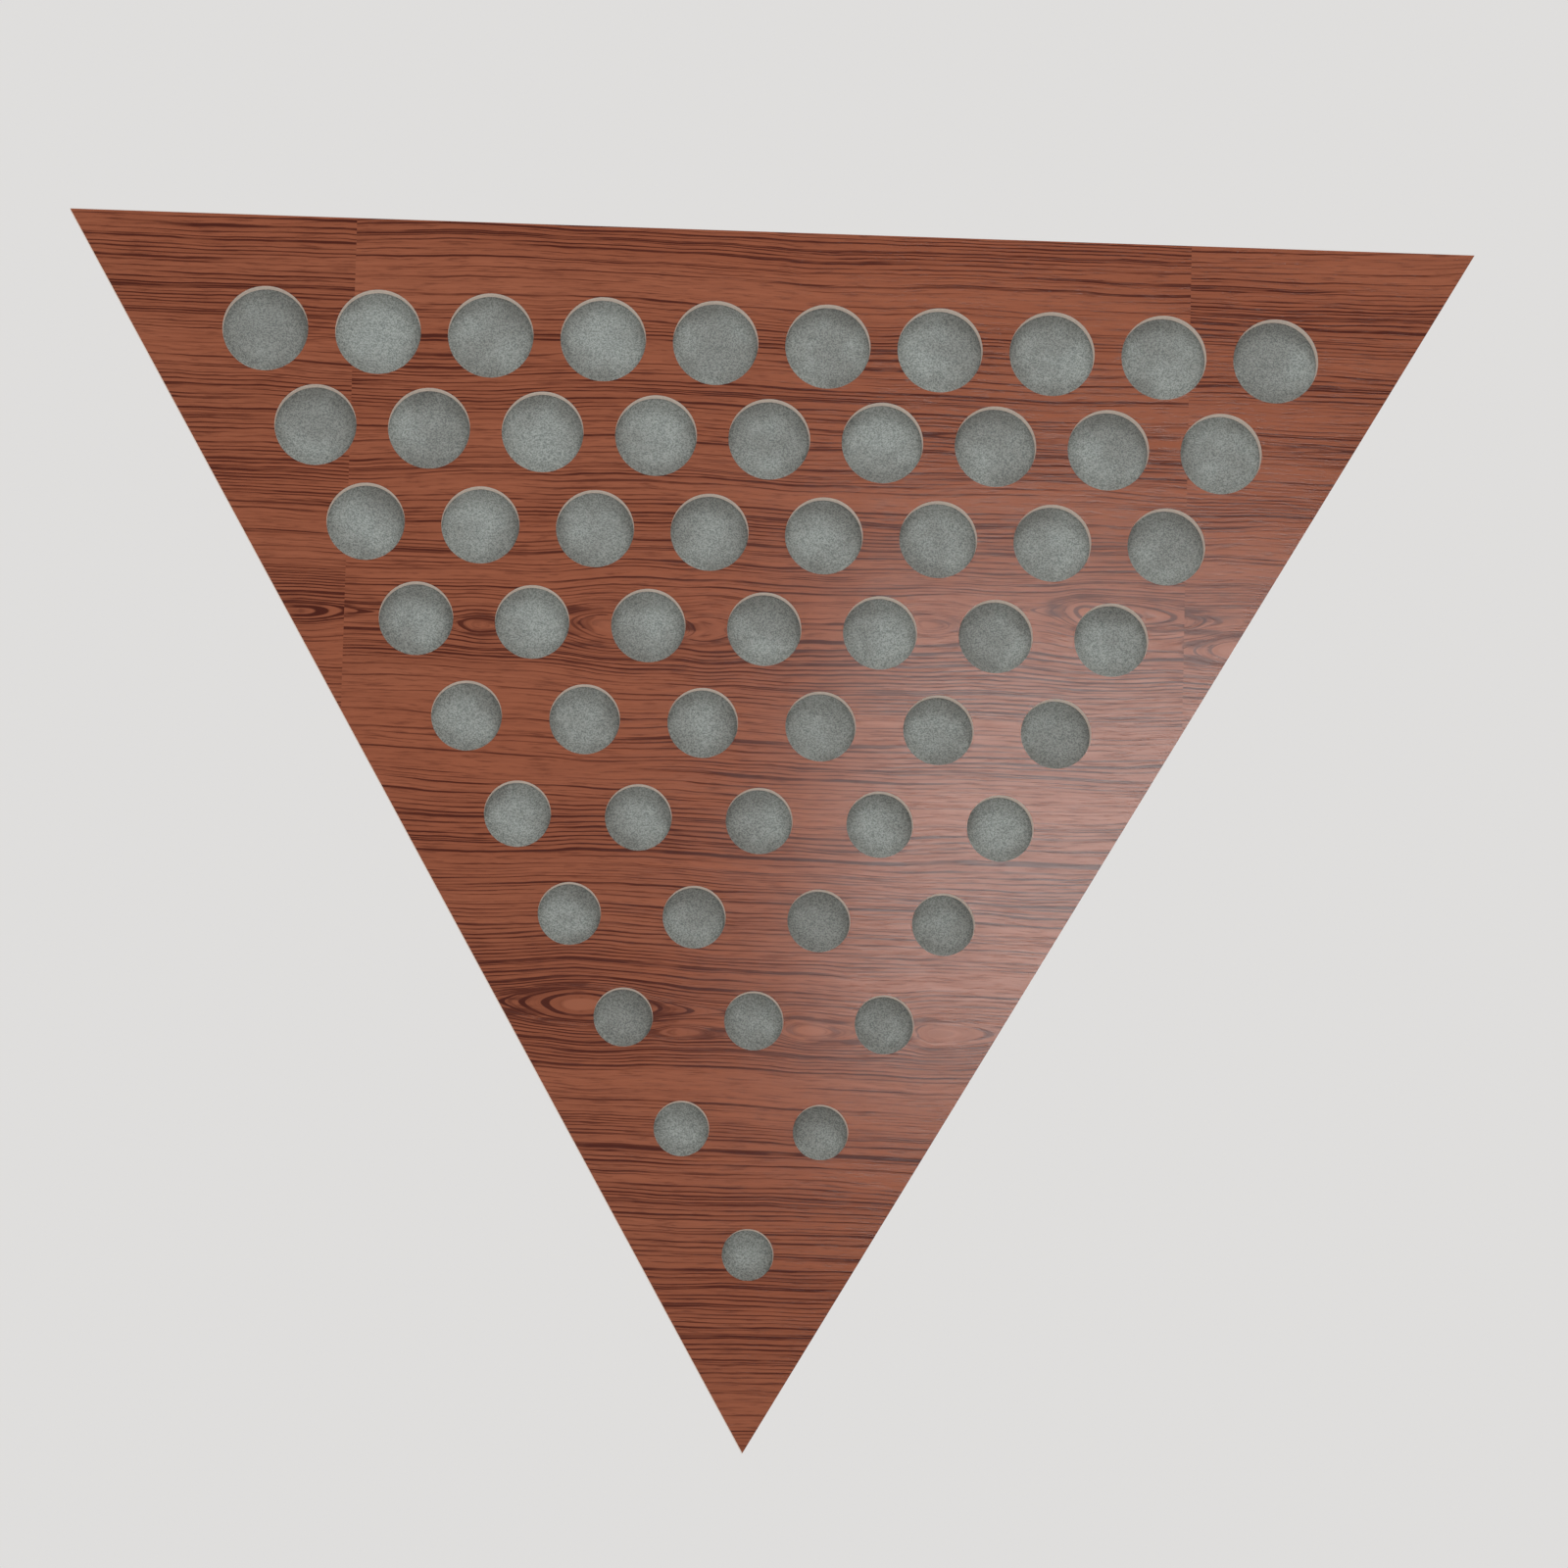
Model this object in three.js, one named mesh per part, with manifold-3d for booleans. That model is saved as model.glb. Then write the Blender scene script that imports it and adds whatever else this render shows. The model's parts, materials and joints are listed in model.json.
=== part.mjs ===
// Corner bass trap: a perforated triangular panel that magnets hold on a frame of three battens.
// The frame is screwed into the corner where two walls meet a ceiling, and absorber slabs fill it.
// Millimetres, +Z up. The origin is the point of the corner itself, the ceiling is the plane z = 0,
// and the walls stand at 45 degrees to each side of +Y, so the panel faces -Y and down.

import * as THREE from "three";
import { mergeVertices } from "three/addons/utils/BufferGeometryUtils.js";
import Module from "manifold-3d";

const wasm = await Module();
wasm.setup();

// Front panel
const panelSide = 600;
const coreThickness = 8;
const faceThickness = 0.3;
const glueLine = 0.1; // between glued sheets
const feltThickness = 3;
const feltLap = 4.9; // glued felt round the outermost holes
const feltClearance = 1.2; // from the felt's edge to the battens, as the panel comes off

// Holes: rows run parallel to the top edge, and shrink evenly down to one hole at the apex
const topHoleDiameter = 36.4;
const apexHoleDiameter = 21.7;
const holeWeb = 10.5; // least wood between neighbours in the top row
const evenRowShare = 0.947; // share of the row spacing that is even, the rest opens at the apex
const apexRowPower = 7;
const holeSides = 20;

// Batten frame
const battenThickness = 18;
const battenWidth = 45;
const battenTipBlunt = 6; // cut off each sharp end
const panelWallGap = 0.3; // from the panel's back edges to the walls
const seatGap = 0.3; // from the battens to the panel's back
const mitreGap = 0.4;
const fitGap = 0.3; // round a piece in its pocket, and between slabs
const cutterOverrun = 2; // how far a cutter stands out of what it cuts

// Magnets in the battens and strike discs in the panel, two of each on every side
const magnetDiameter = 13;
const magnetHeight = 4.5;
const magnetSpacing = 300;
const magnetInset = 12; // from the wall, along the panel's back
const strikeDiameter = 13;
const strikeThickness = 2;
const discSides = 16;

// Countersunk screws: diameter of the shank and of the head, and the whole length
const magnetScrew = { shank: 3, head: 5.6, length: 10 };
const strikeScrew = { shank: 3, head: 5.6, length: 6 };
const bracketScrew = { shank: 3.5, head: 6.6, length: 14 };
const screwGap = 0.2; // round a screw in its hole
const headSink = 0.1; // below the face that the head is let into
const screwSides = 12;

// Holes for the screws that hold the battens to the building
const wallHole = { shank: 5, head: 10 };
const wallHoleSpacing = 180;
const wallHoleInset = 24; // from the batten's front edge

// Steel angle inside each corner of the frame
const bracketLeg = 24;
const bracketWidth = 14;
const bracketThickness = 2;
const bracketPanelGap = 5.3; // along the room's edge, from the angle to the panel's back
const bracketHoleInset = 16; // from the angle's outer corner

// Absorber slabs and the fleece over them
const slabsBehindBattens = 3; // they share the depth down to the tip
const tipHeight = 54.6; // which leaves slabs of 50
const slabCornerGap = 2; // from the first slab's cut corners to the brackets
const fleeceThickness = 1;
const fleeceSetback = 0.3; // from the wall
const fleeceLap = 14; // in the rebate along each batten's back edge
const fleeceBed = 0.2; // under the fleece in its rebate

// The panel meets each wall at the angle between a cube's face and the plane across its corner.
const wallAngle = Math.acos(1 / Math.sqrt(3));
const sinWall = Math.sin(wallAngle);
const cosWall = Math.cos(wallAngle);
const drawInPerDepth = cosWall / sinWall;
const cornerHalfAngle = Math.PI / 6;
const thirdTurn = (2 * Math.PI) / 3;

// Distances in the plane of the panel's back, from its centre
const panelInradius = (panelSide / 2) * Math.tan(cornerHalfAngle);
const panelHeight = 3 * panelInradius;
const wallInradius = panelInradius + panelWallGap;

// From the corner of the room to the panel's back, and along each edge of the room
const cornerDepth = wallInradius * Math.SQRT2;
const edgeReach = cornerDepth * Math.sqrt(3);

// The felt lies just inside the battens, and the holes just inside the felt.
const battenFaceWidth = battenThickness / sinWall;
const feltBack = glueLine + feltThickness;
const feltInset = battenFaceWidth + panelWallGap + drawInPerDepth * feltBack + feltClearance;
const edgeMargin = feltInset + feltLap;

const rebateDepth = fleeceSetback + fleeceThickness + fleeceBed;
const slabWallGap = fleeceSetback + fleeceThickness + fitGap;

const finish = (color, roughness, metalness = 0) =>
  new THREE.MeshStandardMaterial({ color, roughness, metalness });
const materials = {
  laminate: finish(0x8e4e38, 0.42),
  board: finish(0xd2b795, 0.85),
  felt: finish(0x75827d, 0.97),
  timber: finish(0xcda873, 0.7),
  nickel: finish(0xc6c8ca, 0.28, 1),
  zinc: finish(0xb4b8bc, 0.4, 1),
  passivatedZinc: finish(0xc9b26a, 0.38, 1),
  wool: finish(0x9c8c5c, 1),
  fleece: finish(0x2d2f31, 0.95),
};

function solid(geometry) {
  const bare = geometry.clone();
  bare.deleteAttribute("normal");
  bare.deleteAttribute("uv");
  const merged = mergeVertices(bare);
  return new wasm.Manifold(
    new wasm.Mesh({
      numProp: 3,
      vertProperties: merged.attributes.position.array,
      triVerts: new Uint32Array(merged.index.array),
    }),
  );
}

function cut(geometry, cutters) {
  let body = solid(geometry);
  for (const cutter of cutters) body = body.subtract(solid(cutter));
  const mesh = body.getMesh();
  const made = new THREE.BufferGeometry();
  made.setAttribute("position", new THREE.BufferAttribute(mesh.vertProperties, 3));
  made.setIndex(new THREE.BufferAttribute(mesh.triVerts, 1));
  const faceted = made.toNonIndexed();
  faceted.computeVertexNormals();
  return faceted;
}

function named(name, geometry, material) {
  const mesh = new THREE.Mesh(geometry, material);
  mesh.name = name;
  return mesh;
}

function plate(shape, thickness, curveSegments = 1) {
  return new THREE.ExtrudeGeometry(shape, {
    depth: thickness,
    bevelEnabled: false,
    curveSegments,
  });
}

// A turned shape along Z from [radius, height] points that start and end on the axis, upwards.
function turned(points, sides) {
  const profile = points.map(([radius, height]) => new THREE.Vector2(radius, height));
  return new THREE.LatheGeometry(profile, sides).rotateX(Math.PI / 2);
}

// An equilateral triangle with its apex down, centred on its centroid
function triangle(inradius) {
  const corner = inradius / Math.tan(cornerHalfAngle);
  return new THREE.Shape([
    new THREE.Vector2(0, -2 * inradius),
    new THREE.Vector2(corner, inradius),
    new THREE.Vector2(-corner, inradius),
  ]);
}

// Hole centres and radii over the panel. The top row and the ends of every row touch one line
// that runs inside the panel's edges, the edge margin away.
function holePattern() {
  const endOfRow = (depth, radius) =>
    (panelHeight - depth) * Math.tan(cornerHalfAngle) -
    (edgeMargin + radius) / Math.cos(cornerHalfAngle);
  const topRadius = topHoleDiameter / 2;
  const apexRadius = apexHoleDiameter / 2;
  const topDepth = edgeMargin + topRadius;
  const apexDepth = panelHeight - (edgeMargin + apexRadius) / Math.sin(cornerHalfAngle);
  const topSpan = 2 * endOfRow(topDepth, topRadius);
  const rows = Math.floor(topSpan / (topHoleDiameter + holeWeb)) + 1;
  const holes = [];
  for (let row = 0; row < rows; row++) {
    const along = row / (rows - 1);
    const spread = evenRowShare * along + (1 - evenRowShare) * along ** apexRowPower;
    const radius = THREE.MathUtils.lerp(topRadius, apexRadius, along);
    const depth = THREE.MathUtils.lerp(topDepth, apexDepth, spread);
    const end = endOfRow(depth, radius);
    const count = rows - row;
    for (let hole = 0; hole < count; hole++) {
      const across = count > 1 ? (2 * hole) / (count - 1) - 1 : 0;
      holes.push({ x: across * end, y: panelInradius - depth, radius });
    }
  }
  return holes;
}

function perforatedPlate(thickness) {
  const outline = triangle(panelInradius);
  for (const { x, y, radius } of holePattern()) {
    const hole = new THREE.Path();
    hole.absarc(x, y, radius, 0, 2 * Math.PI);
    outline.holes.push(hole);
  }
  return plate(outline, thickness, holeSides / 2);
}

// A countersunk screw with its head's face at z = 0 and its point down
function screwShape({ shank, head, length }) {
  const shankRadius = shank / 2;
  const headRadius = head / 2;
  const cone = headRadius - shankRadius;
  const tip = shank;
  return turned(
    [
      [0, -length],
      [shankRadius, tip - length],
      [shankRadius, -cone],
      [headRadius, 0],
      [0, 0],
    ],
    screwSides,
  );
}

// The hole for such a screw, let into a face at z = 0 and as deep as given
function screwHole({ shank, head }, depth) {
  const holeRadius = shank / 2 + screwGap;
  const sinkRadius = head / 2 + screwGap;
  const cone = sinkRadius - holeRadius;
  return turned(
    [
      [0, -depth],
      [holeRadius, -depth],
      [holeRadius, -cone - headSink],
      [sinkRadius, -headSink],
      [sinkRadius, cutterOverrun],
      [0, cutterOverrun],
    ],
    screwSides,
  );
}

// A plain round hole or pocket, let into a face at z = 0
function roundHole(diameter, depth, sides) {
  const height = depth + cutterOverrun;
  return new THREE.CylinderGeometry(diameter / 2, diameter / 2, height, sides)
    .rotateX(Math.PI / 2)
    .translate(0, 0, cutterOverrun - height / 2);
}

// A disc along Z from z = 0 down, with a countersunk hole through it
function drilledDisc(diameter, height, screw) {
  const disc = new THREE.CylinderGeometry(diameter / 2, diameter / 2, height, discSides)
    .rotateX(Math.PI / 2)
    .translate(0, 0, -height / 2);
  return cut(disc, [screwHole(screw, height + cutterOverrun)]);
}

// The sides of the panel in turn, each with the third of a turn that brings the top side to it
const sides = [
  { name: "ceiling", turn: 0 },
  { name: "left_wall", turn: thirdTurn },
  { name: "right_wall", turn: -thirdTurn },
];
const corners = [
  { name: "lower", turn: 0 },
  { name: "right", turn: thirdTurn },
  { name: "left", turn: -thirdTurn },
];
const pair = [
  { name: "left", sign: -1 },
  { name: "right", sign: 1 },
];
const magnetPlace = (sign) =>
  new THREE.Vector2((sign * magnetSpacing) / 2, wallInradius - magnetInset);

// From a wall's own frame (X along the panel's edge, Y along the wall into the corner, Z out
// through the wall) to the frame of the panel's back
const wallFrame = new THREE.Matrix4()
  .makeRotationX(wallAngle - Math.PI)
  .setPosition(0, wallInradius, 0);

function panelCore() {
  const pocketDepth = strikeThickness + fitGap;
  const pilotDepth = strikeScrew.length + headSink + fitGap;
  const pockets = [];
  for (const { turn } of sides) {
    for (const { sign } of pair) {
      const { x, y } = magnetPlace(sign);
      const tools = [
        roundHole(strikeDiameter + 2 * fitGap, pocketDepth, discSides),
        roundHole(strikeScrew.shank + 2 * screwGap, pilotDepth, screwSides),
      ];
      for (const tool of tools) pockets.push(tool.rotateX(Math.PI).translate(x, y, 0).rotateZ(turn));
    }
  }
  return cut(perforatedPlate(coreThickness), pockets);
}

// Where the bracket screws enter a batten, from the corner of the room: along the edge that the
// bracket stands on, and out from it
const bracketNear = battenThickness + fitGap;
const bracketFar = bracketNear + bracketLeg;
const bracketInner = bracketNear + bracketThickness;
const bracketStart = edgeReach - bracketPanelGap - bracketFar - bracketInner - bracketWidth;
const bracketHoleAlong = bracketStart + bracketWidth / 2;
const bracketHoleOut = bracketNear + bracketHoleInset;

// How near the brackets' legs come to the panel's centre, measured along the panel
const bracketReach =
  sinWall * (bracketStart - bracketNear - (bracketThickness + bracketLeg) / 2);

function batten() {
  const frontAt = (height) => (seatGap - cosWall * height) / sinWall;
  const profile = [
    [frontAt(0), 0],
    [battenWidth - fleeceLap, 0],
    [battenWidth - fleeceLap, -rebateDepth],
    [battenWidth, -rebateDepth],
    [battenWidth, -battenThickness],
    [frontAt(-battenThickness), -battenThickness],
  ].map(([y, z]) => new THREE.Vector2(y, z));
  const length = plate(new THREE.Shape(profile.reverse()), 1)
    .translate(0, 0, -1 / 2)
    .applyMatrix4(
      new THREE.Matrix4().makeBasis(
        new THREE.Vector3(0, 1, 0),
        new THREE.Vector3(0, 0, 1),
        new THREE.Vector3(1, 0, 0),
      ),
    );
  const at = length.attributes.position;
  for (let i = 0; i < at.count; i++) {
    const fromCentre = wallInradius - cosWall * at.getY(i) + sinWall * at.getZ(i);
    const half = fromCentre / Math.tan(cornerHalfAngle) - mitreGap;
    at.setX(i, Math.sign(at.getX(i)) * half);
  }

  const cutters = [];
  const tipStop = panelSide / 2 - battenTipBlunt;
  for (const { sign } of pair) {
    cutters.push(
      new THREE.BoxGeometry(panelSide, panelSide, panelSide)
        .translate(sign * (tipStop + panelSide / 2), 0, 0),
      screwHole(wallHole, battenThickness + cutterOverrun)
        .rotateX(Math.PI)
        .translate((sign * wallHoleSpacing) / 2, wallHoleInset, -battenThickness),
      roundHole(bracketScrew.shank + 2 * screwGap, bracketScrew.length, screwSides)
        .rotateX(Math.PI)
        .translate(
          (sign * (bracketHoleAlong - bracketHoleOut)) / Math.SQRT2,
          (edgeReach - bracketHoleAlong - bracketHoleOut) / Math.SQRT2,
          -battenThickness,
        ),
    );
  }
  for (const cutter of cutters) cutter.applyMatrix4(wallFrame);

  for (const { sign } of pair) {
    const { x, y } = magnetPlace(sign);
    const pilotDepth = magnetScrew.length + fitGap + headSink;
    cutters.push(
      roundHole(magnetDiameter + 2 * fitGap, magnetHeight + fitGap, discSides)
        .translate(x, y, -seatGap),
      roundHole(magnetScrew.shank + 2 * screwGap, pilotDepth, screwSides)
        .translate(x, y, -seatGap),
    );
  }
  return cut(length.applyMatrix4(wallFrame), cutters);
}

// The fleece over one wall side of the absorber, from the batten's rebate to the corner
function fleeceCover() {
  const front = battenWidth - fleeceLap + fitGap;
  const point = edgeReach / Math.SQRT2 - slabWallGap * Math.SQRT2;
  const shape = new THREE.Shape([
    new THREE.Vector2(front - point, front),
    new THREE.Vector2(point - front, front),
    new THREE.Vector2(0, point),
  ]);
  return plate(shape, fleeceThickness)
    .translate(0, 0, -fleeceSetback - fleeceThickness)
    .applyMatrix4(wallFrame);
}

// A slab of the absorber between two depths behind the panel's back. Its sides stay parallel to
// the walls and the given distance off them.
function absorberSlab(front, back, offWall) {
  const apex = cornerDepth - Math.sqrt(3) * offWall;
  const radiusAt = (depth) => Math.SQRT2 * (apex - depth);
  const height = back - front;
  return new THREE.CylinderGeometry(radiusAt(front), radiusAt(back), height, 3)
    .rotateX(Math.PI / 2)
    .translate(0, 0, -(front + back) / 2);
}

// The slab between the battens, its corners cut off to clear the brackets
function firstSlab(front, back, offWall) {
  const size = cornerDepth;
  const toCorner = size / 2 + bracketReach - slabCornerGap;
  return cut(
    absorberSlab(front, back, offWall),
    corners.map(({ turn }) =>
      new THREE.BoxGeometry(size, size, size).translate(0, -toCorner, 0).rotateZ(turn),
    ),
  );
}

// The last of the absorber: a three-sided point
function absorberTip(front, offWall) {
  const height = cornerDepth - Math.sqrt(3) * offWall - front;
  return new THREE.ConeGeometry(Math.SQRT2 * height, height, 3)
    .rotateX(-Math.PI / 2)
    .rotateZ(Math.PI)
    .translate(0, 0, -front - height / 2);
}

// In the frame of the room's edges: a steel angle along the edge Z, its legs along X and Y
function cornerBracket() {
  const shape = new THREE.Shape(
    [
      [bracketNear, bracketNear],
      [bracketFar, bracketNear],
      [bracketFar, bracketInner],
      [bracketInner, bracketInner],
      [bracketInner, bracketFar],
      [bracketNear, bracketFar],
    ].map(([x, y]) => new THREE.Vector2(x, y)),
  );
  const angle = plate(shape, bracketWidth).translate(0, 0, bracketStart);
  const hole = () => screwHole(bracketScrew, bracketThickness + cutterOverrun);
  return cut(angle, [
    hole()
      .rotateY(Math.PI / 2)
      .translate(bracketInner, bracketHoleOut, bracketHoleAlong),
    hole()
      .rotateX(-Math.PI / 2)
      .translate(bracketHoleOut, bracketInner, bracketHoleAlong),
  ]);
}

// The frame of the panel's back: X across, Y up along the panel, Z out of its front
const unit = new THREE.Group();
unit.rotation.x = Math.PI - wallAngle;
unit.position.set(0, -sinWall * cornerDepth, -cosWall * cornerDepth);

function addFrontPanel() {
  const core = named("panel_core", panelCore(), materials.board);
  const face = named("decor_face", perforatedPlate(faceThickness), materials.laminate);
  face.position.z = coreThickness + glueLine;
  const feltShape = triangle(panelInradius - feltInset);
  const felt = named("felt_lining", plate(feltShape, feltThickness), materials.felt);
  felt.position.z = -feltBack;
  unit.add(core, face, felt);
}

function addStrikes(side, sideGroup) {
  for (const { name, sign } of pair) {
    const { x, y } = magnetPlace(sign);
    const place = new THREE.Group();
    place.position.set(x, y, 0);
    place.rotation.x = Math.PI;
    const disc = named(
      `${side}_strike_disc_${name}`,
      drilledDisc(strikeDiameter, strikeThickness, strikeScrew),
      materials.zinc,
    );
    const screw = named(
      `${side}_strike_screw_${name}`,
      screwShape(strikeScrew),
      materials.passivatedZinc,
    );
    screw.position.z = -headSink;
    place.add(disc, screw);
    sideGroup.add(place);
  }
}

function addMagnets(side, sideGroup) {
  for (const { name, sign } of pair) {
    const { x, y } = magnetPlace(sign);
    const place = new THREE.Group();
    place.position.set(x, y, -seatGap);
    const magnet = named(
      `${side}_magnet_${name}`,
      drilledDisc(magnetDiameter, magnetHeight, magnetScrew),
      materials.nickel,
    );
    const screw = named(
      `${side}_magnet_screw_${name}`,
      screwShape(magnetScrew),
      materials.passivatedZinc,
    );
    screw.position.z = -headSink;
    place.add(magnet, screw);
    sideGroup.add(place);
  }
}

function addSides() {
  for (const { name, turn } of sides) {
    const group = new THREE.Group();
    group.rotation.z = turn;
    group.add(named(`${name}_batten`, batten(), materials.timber));
    group.add(named(`${name}_fleece`, fleeceCover(), materials.fleece));
    addMagnets(name, group);
    addStrikes(name, group);
    unit.add(group);
  }
}

// Axes along the three edges of the room, from its corner: Z towards the panel's apex
function roomEdges() {
  const towards = (x, y) => new THREE.Vector3(x, y, cornerDepth).normalize();
  const halfSide = wallInradius / Math.tan(cornerHalfAngle);
  const edges = new THREE.Group();
  edges.quaternion.setFromRotationMatrix(
    new THREE.Matrix4().makeBasis(
      towards(halfSide, wallInradius),
      towards(-halfSide, wallInradius),
      towards(0, -2 * wallInradius),
    ),
  );
  edges.position.z = -cornerDepth;
  return edges;
}

function addBrackets() {
  const headFace = bracketInner - headSink;
  for (const { name, turn } of corners) {
    const group = new THREE.Group();
    group.rotation.z = turn;
    const edges = roomEdges();
    edges.add(named(`${name}_corner_bracket`, cornerBracket(), materials.zinc));
    const first = named(
      `${name}_bracket_screw_1`,
      screwShape(bracketScrew),
      materials.passivatedZinc,
    );
    first.rotation.y = Math.PI / 2;
    first.position.set(headFace, bracketHoleOut, bracketHoleAlong);
    const second = named(
      `${name}_bracket_screw_2`,
      screwShape(bracketScrew),
      materials.passivatedZinc,
    );
    second.rotation.x = -Math.PI / 2;
    second.position.set(bracketHoleOut, headFace, bracketHoleAlong);
    edges.add(first, second);
    group.add(edges);
    unit.add(group);
  }
}

function addAbsorber() {
  const between = battenThickness + fitGap;
  const battenDepth = battenWidth * sinWall;
  const add = (name, geometry) => unit.add(named(name, geometry, materials.wool));
  add("absorber_slab_1", firstSlab(feltBack + fitGap, battenDepth, between));
  const tipFront = cornerDepth - Math.sqrt(3) * slabWallGap - tipHeight;
  const pitch = (tipFront - battenDepth - fitGap) / slabsBehindBattens;
  for (let slab = 0; slab < slabsBehindBattens; slab++) {
    const front = battenDepth + fitGap + slab * pitch;
    add(`absorber_slab_${slab + 2}`, absorberSlab(front, front + pitch - fitGap, slabWallGap));
  }
  add("absorber_tip", absorberTip(tipFront, slabWallGap));
}

addFrontPanel();
addSides();
addBrackets();
addAbsorber();

const bassTrap = new THREE.Group();
bassTrap.add(unit);

export default bassTrap;
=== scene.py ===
"""Corner bass trap: the finished surfaces of a perforated corner panel, its batten frame and its
absorber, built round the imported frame. Metres, +Z up, from the point behind the panel where the
absorber's three sides meet."""

import json
import math

import bmesh
import bpy
from bpy.props import FloatProperty, FloatVectorProperty, IntProperty, PointerProperty
from mathutils import Color, Matrix, Vector, noise


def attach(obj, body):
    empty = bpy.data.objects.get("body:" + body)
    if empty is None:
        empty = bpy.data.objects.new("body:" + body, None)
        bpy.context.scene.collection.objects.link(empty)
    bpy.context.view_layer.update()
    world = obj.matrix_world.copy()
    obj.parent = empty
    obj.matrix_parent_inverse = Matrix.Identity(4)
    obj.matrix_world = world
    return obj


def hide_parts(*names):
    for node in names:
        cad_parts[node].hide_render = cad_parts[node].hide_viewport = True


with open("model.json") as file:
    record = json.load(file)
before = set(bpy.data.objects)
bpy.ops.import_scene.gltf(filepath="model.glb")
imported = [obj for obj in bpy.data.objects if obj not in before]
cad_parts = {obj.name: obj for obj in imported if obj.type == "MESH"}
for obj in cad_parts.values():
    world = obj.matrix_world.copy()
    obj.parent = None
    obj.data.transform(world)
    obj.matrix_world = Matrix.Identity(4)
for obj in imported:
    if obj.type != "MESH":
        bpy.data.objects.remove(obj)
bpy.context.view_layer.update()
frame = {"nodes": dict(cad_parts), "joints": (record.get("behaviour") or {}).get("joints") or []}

bl_info = {
    "name": "Corner Bass Trap",
    "version": (1, 0, 0),
    "blender": (4, 5, 0),
    "location": "3D View > Sidebar > Bass Trap",
    "description": "Builds the finished pieces of a corner bass trap round its frame",
    "category": "Object",
}

MM = 0.001

# How close points are one, how far a cutter reaches past what it cuts, from which angle an edge
# is sharp, in degrees, and up to which angle two faces are one
WELD = 0.001 * MM
OVERRUN = 2 * MM
SHARP = 30
FLAT = math.radians(1)

# Frames that the pieces are measured and modelled in
ACROSS = Vector((1, 0, 0))
OUT = Vector(frame["joints"][0]["axis"]).normalized()
UP = OUT.cross(ACROSS)
CORNER_DEPTH = min(OUT.dot(v.co) for v in frame["nodes"]["panel_core"].data.vertices)
DIAGONAL = math.sqrt(1 / 2)


def facing(across, up, out, origin):
    """The matrix of a frame with these three axes and this origin."""
    place = Matrix((across, up, out)).transposed().to_4x4()
    place.translation = origin
    return place


# The panel: X along its top edge, Y up it, Z out of its front, from the middle of its back
PANEL = facing(ACROSS, UP, OUT, CORNER_DEPTH * OUT)

# The absorber's level top side: X along the panel, Y away from it, from the panel's back
TOP_SIDE = Matrix.Translation((0, CORNER_DEPTH / OUT.y, 0))

# The absorber's upright back edge: Z down it, with X and Y along the other two edges there
BACK_EDGE = facing((DIAGONAL, -DIAGONAL, 0), (-DIAGONAL, -DIAGONAL, 0), (0, 0, -1), (0, 0, 0))

# What repeats on all three sides, or in all three corners, is turned about the panel's middle.
THIRD = 2 * math.pi / 3
SIDES = {"ceiling": 0, "left_wall": THIRD, "right_wall": -THIRD}
CORNERS = {"lower": 0, "right": THIRD, "left": -THIRD}
HANDS = ("left", "right")


def extent(node, place):
    """The lowest and the highest corner of a CAD node, measured in one of the frames."""
    back = place.inverted()
    corners = [back @ v.co for v in frame["nodes"][node].data.vertices]
    return (
        Vector([min(corner[i] for corner in corners) for i in range(3)]),
        Vector([max(corner[i] for corner in corners) for i in range(3)]),
    )


def centre_of(node, place):
    low, high = extent(node, place)
    return (low + high) / 2


def drilled_holes(node):
    """Centre and radius of each round hole in a flat CAD node, in the panel's frame. The faces
    round a hole have more points than those round the outline, which has two at each corner."""
    upright, outline_points = 0.5, 2 * 3
    mesh = bmesh.new()
    mesh.from_mesh(frame["nodes"][node].data)
    mesh.transform(PANEL.inverted())
    bmesh.ops.remove_doubles(mesh, verts=mesh.verts, dist=WELD)
    mesh.normal_update()
    walls = {face for face in mesh.faces if abs(face.normal.z) < upright}
    holes = []
    while walls:
        ring, reached = set(), [walls.pop()]
        while reached:
            for vertex in reached.pop().verts:
                ring.add(vertex)
                beside = walls.intersection(vertex.link_faces)
                walls -= beside
                reached.extend(beside)
        if len(ring) > outline_points:
            centre = sum((vertex.co.xy for vertex in ring), Vector((0, 0))) / len(ring)
            holes.append((centre, (next(iter(ring)).co.xy - centre).length))
    mesh.free()
    return sorted(holes, key=lambda hole: (-round(hole[0].y, 5), hole[0].x))


# Sizes and colours that a user would change


def number(name, description, default, **kind):
    return FloatProperty(name=name, description=description, default=default, **kind)


def length(name, description, default):
    return number(name, description, default, min=0, unit="LENGTH", precision=5)


def share(name, description, default):
    return number(name, description, default, min=0, max=1, subtype="FACTOR")


def count(name, description, default):
    return IntProperty(name=name, description=description, default=default)


def spot_at(name, description, default):
    return FloatVectorProperty(
        name=name, description=description, default=default, subtype="TRANSLATION", unit="LENGTH"
    )


def colour(name, description, default):
    """A colour as it looks on the screen, which linear() turns into the shader's own."""
    return FloatVectorProperty(
        name=name, description=description, default=default, min=0, max=1, size=3,
        subtype="COLOR_GAMMA",
    )


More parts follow.
